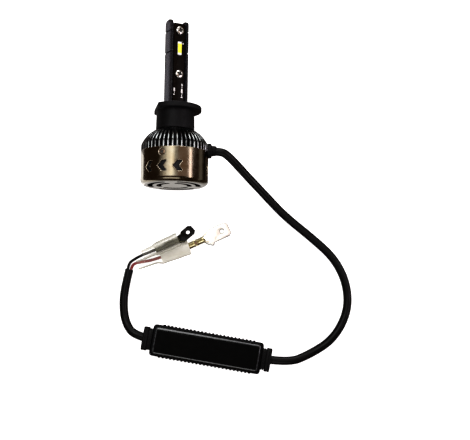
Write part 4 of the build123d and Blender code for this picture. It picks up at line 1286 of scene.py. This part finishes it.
black_blade = build_terminal(
    "black_blade_terminal",
    "black_terminal",
    black_wire_place,
    black_blade_place,
    (4.8, 4.1, (1.2, 0.8), None),
    ((-14.6, 3.2), (-10.2, 6.2)),
    ["terminal_dark", "terminal_olive", "terminal_olive", "terminal_dark"],
)
red_wire_place = heading_frame((15.9, -53.3, -12.5), 25.5, -4, 0)
red_blade = build_terminal(
    "red_blade_terminal",
    "red_terminal",
    red_wire_place,
    red_wire_place,
    (6.3, 8.2, (4.7, 0.85), (-1.2, 0.95)),
    ((-11.0, 2.8), (-7.4, 3.4)),
    ["terminal_bright", "terminal_brass", "strand_tin", "terminal_edge"],
)
black_sleeve_place = heading_frame((1.7, -55.5, -7.6), 25, 0, 40)
black_cover = build_sleeve(
    "black_sleeve_skin", "black_sleeve", black_sleeve_place, 9.5, 4.0, 3, ["sleeve_clear", "sleeve_clear"]
)
red_sleeve_place = heading_frame((6.2, -58.4, FLOOR + 2.3), 20, 0, 0)
red_cover = build_sleeve(
    "red_sleeve_skin", "red_sleeve", red_sleeve_place, 12.5, 8.0, 5, ["sleeve_clear", "sleeve_milky"]
)

# ---- Wires inside the lamp and the driver ----
lead_routes = []
for across, out, height in ((1, 1, 0.45), (-1, 1, 1.35), (1, -1, -1.35), (-1, -1, -0.45)):
    foot = on_core(across * 1.2, out * 2.15, 0)
    lead_routes.append(
        [
            (foot.x, 1.5, foot.z),
            (foot.x, -10.0, foot.z),
            (foot.x, -21.3, foot.z),
            (6.8, -21.3, height),
            (9.2, GLAND_LEVEL, height),
            (11.0, GLAND_LEVEL, height),
        ]
    )
curve_piece("lamp_leads_curves", "led_leads", lead_routes, 0.8, "lead_black", 10)

lead_routes = []
for side in (1, -1):
    for over in (0.8, -0.8):
        bend = side * 18.3
        places = ((side * 20.5, WIRE_HEIGHT), (bend, WIRE_HEIGHT), (bend, 2.4))
        lead_routes.append([in_driver(along, over, height) for along, height in places])
driver_wires = curve_piece("driver_leads_curves", "driver_leads", lead_routes, 0.9, "lead_black", 10)


# ---- Floor and light ----
def add_floor(half_width):
    mesh = bpy.data.meshes.new("floor")
    corners = [(-1, -1), (1, -1), (1, 1), (-1, 1)]
    mesh.from_pydata([(x * half_width, y * half_width, FLOOR * MM) for x, y in corners], [], [(0, 1, 2, 3)])
    mesh.materials.append(FINISHES["floor_white"])
    floor = bpy.data.objects.new("floor", mesh)
    scene.collection.objects.link(floor)
    floor.visible_glossy = False


def add_light(name, place, size, radiance, colour=(1, 1, 1), aim=None):
    """Rectangular soft light, straight down unless it has a point to aim at. Places and sizes are in mm."""
    data = bpy.data.lights.new(name, "AREA")
    data.shape = "RECTANGLE"
    data.size, data.size_y = size[0] * MM, size[1] * MM
    data.energy = radiance * math.pi * data.size * data.size_y
    data.color = colour
    light = bpy.data.objects.new(name, data)
    light.location = Vector(place) * MM
    if aim is not None:
        light.rotation_mode = "QUATERNION"
        light.rotation_quaternion = (Vector(aim) - Vector(place)).to_track_quat("-Z", "Y")
    scene.collection.objects.link(light)


def add_world(colour, strength):
    world = bpy.data.worlds.new("studio")
    world.use_nodes = True
    nodes, links = world.node_tree.nodes, world.node_tree.links
    background = nodes["Background"]
    background.inputs["Color"].default_value = (*colour, 1)
    background.inputs["Strength"].default_value = strength
    # The backdrop seen past the floor's edge is as pale as the floor, and lights nothing.
    backdrop = nodes.new("ShaderNodeBackground")
    backdrop.inputs["Color"].default_value = (0.9, 0.9, 0.89, 1)
    path = nodes.new("ShaderNodeLightPath")
    mix = nodes.new("ShaderNodeMixShader")
    links.new(path.outputs["Is Camera Ray"], mix.inputs[0])
    links.new(background.outputs[0], mix.inputs[1])
    links.new(backdrop.outputs[0], mix.inputs[2])
    links.new(mix.outputs[0], nodes["World Output"].inputs["Surface"])
    scene.world = world


add_floor(1.2)
KEY_STRIPS = (
    (-600, -400, 0.6),
    (-400, -250, 2.2),
    (-250, -120, 4.4),
    (-120, -20, 6.5),
    (-20, 40, 4.2),
    (40, 150, 1.2),
)
for left, right, radiance in KEY_STRIPS:
    add_light("key", ((left + right) / 2, 155, 600), (right - left, 350), radiance)
add_light("side", (346, -30, 215), (230, 60), 11, (0.92, 0.82, 0.92), aim=(0, -27, 0))
add_light("screw_side", (346, 150, 215), (150, 130), 2.5, aim=(0, 20, 0))
add_light("warm_top", (460, 155, 600), (600, 350), 0.65, (1, 0.72, 0.62))
add_light("front", (-80, -620, 460), (620, 380), 2.4, aim=(10, -60, -10))
add_light("far", (90, 560, 260), (420, 260), 6, aim=(0, -20, 0))
CARDS = (
    (-21.5, 17, 13, 66, 0.32),
    (-34.5, 17, 13, 66, 0.55),
    (-21.5, -45, 13, 58, 1.2),
    (-34.5, -45, 13, 58, 2.6),
    (0, -46, 44, 25, 0.62),
    (150, -30, 170, 120, 0.4),
)
for x, y, width, length, radiance in CARDS:
    add_light("card", (x, y, FLOOR + 0.1), (width, length), radiance, aim=(x, y + 0.01, 100))
add_world((0.085, 0.06, 0.045), 1.0)
scene.view_settings.view_transform = "Standard"
scene.view_settings.look = "Medium High Contrast"
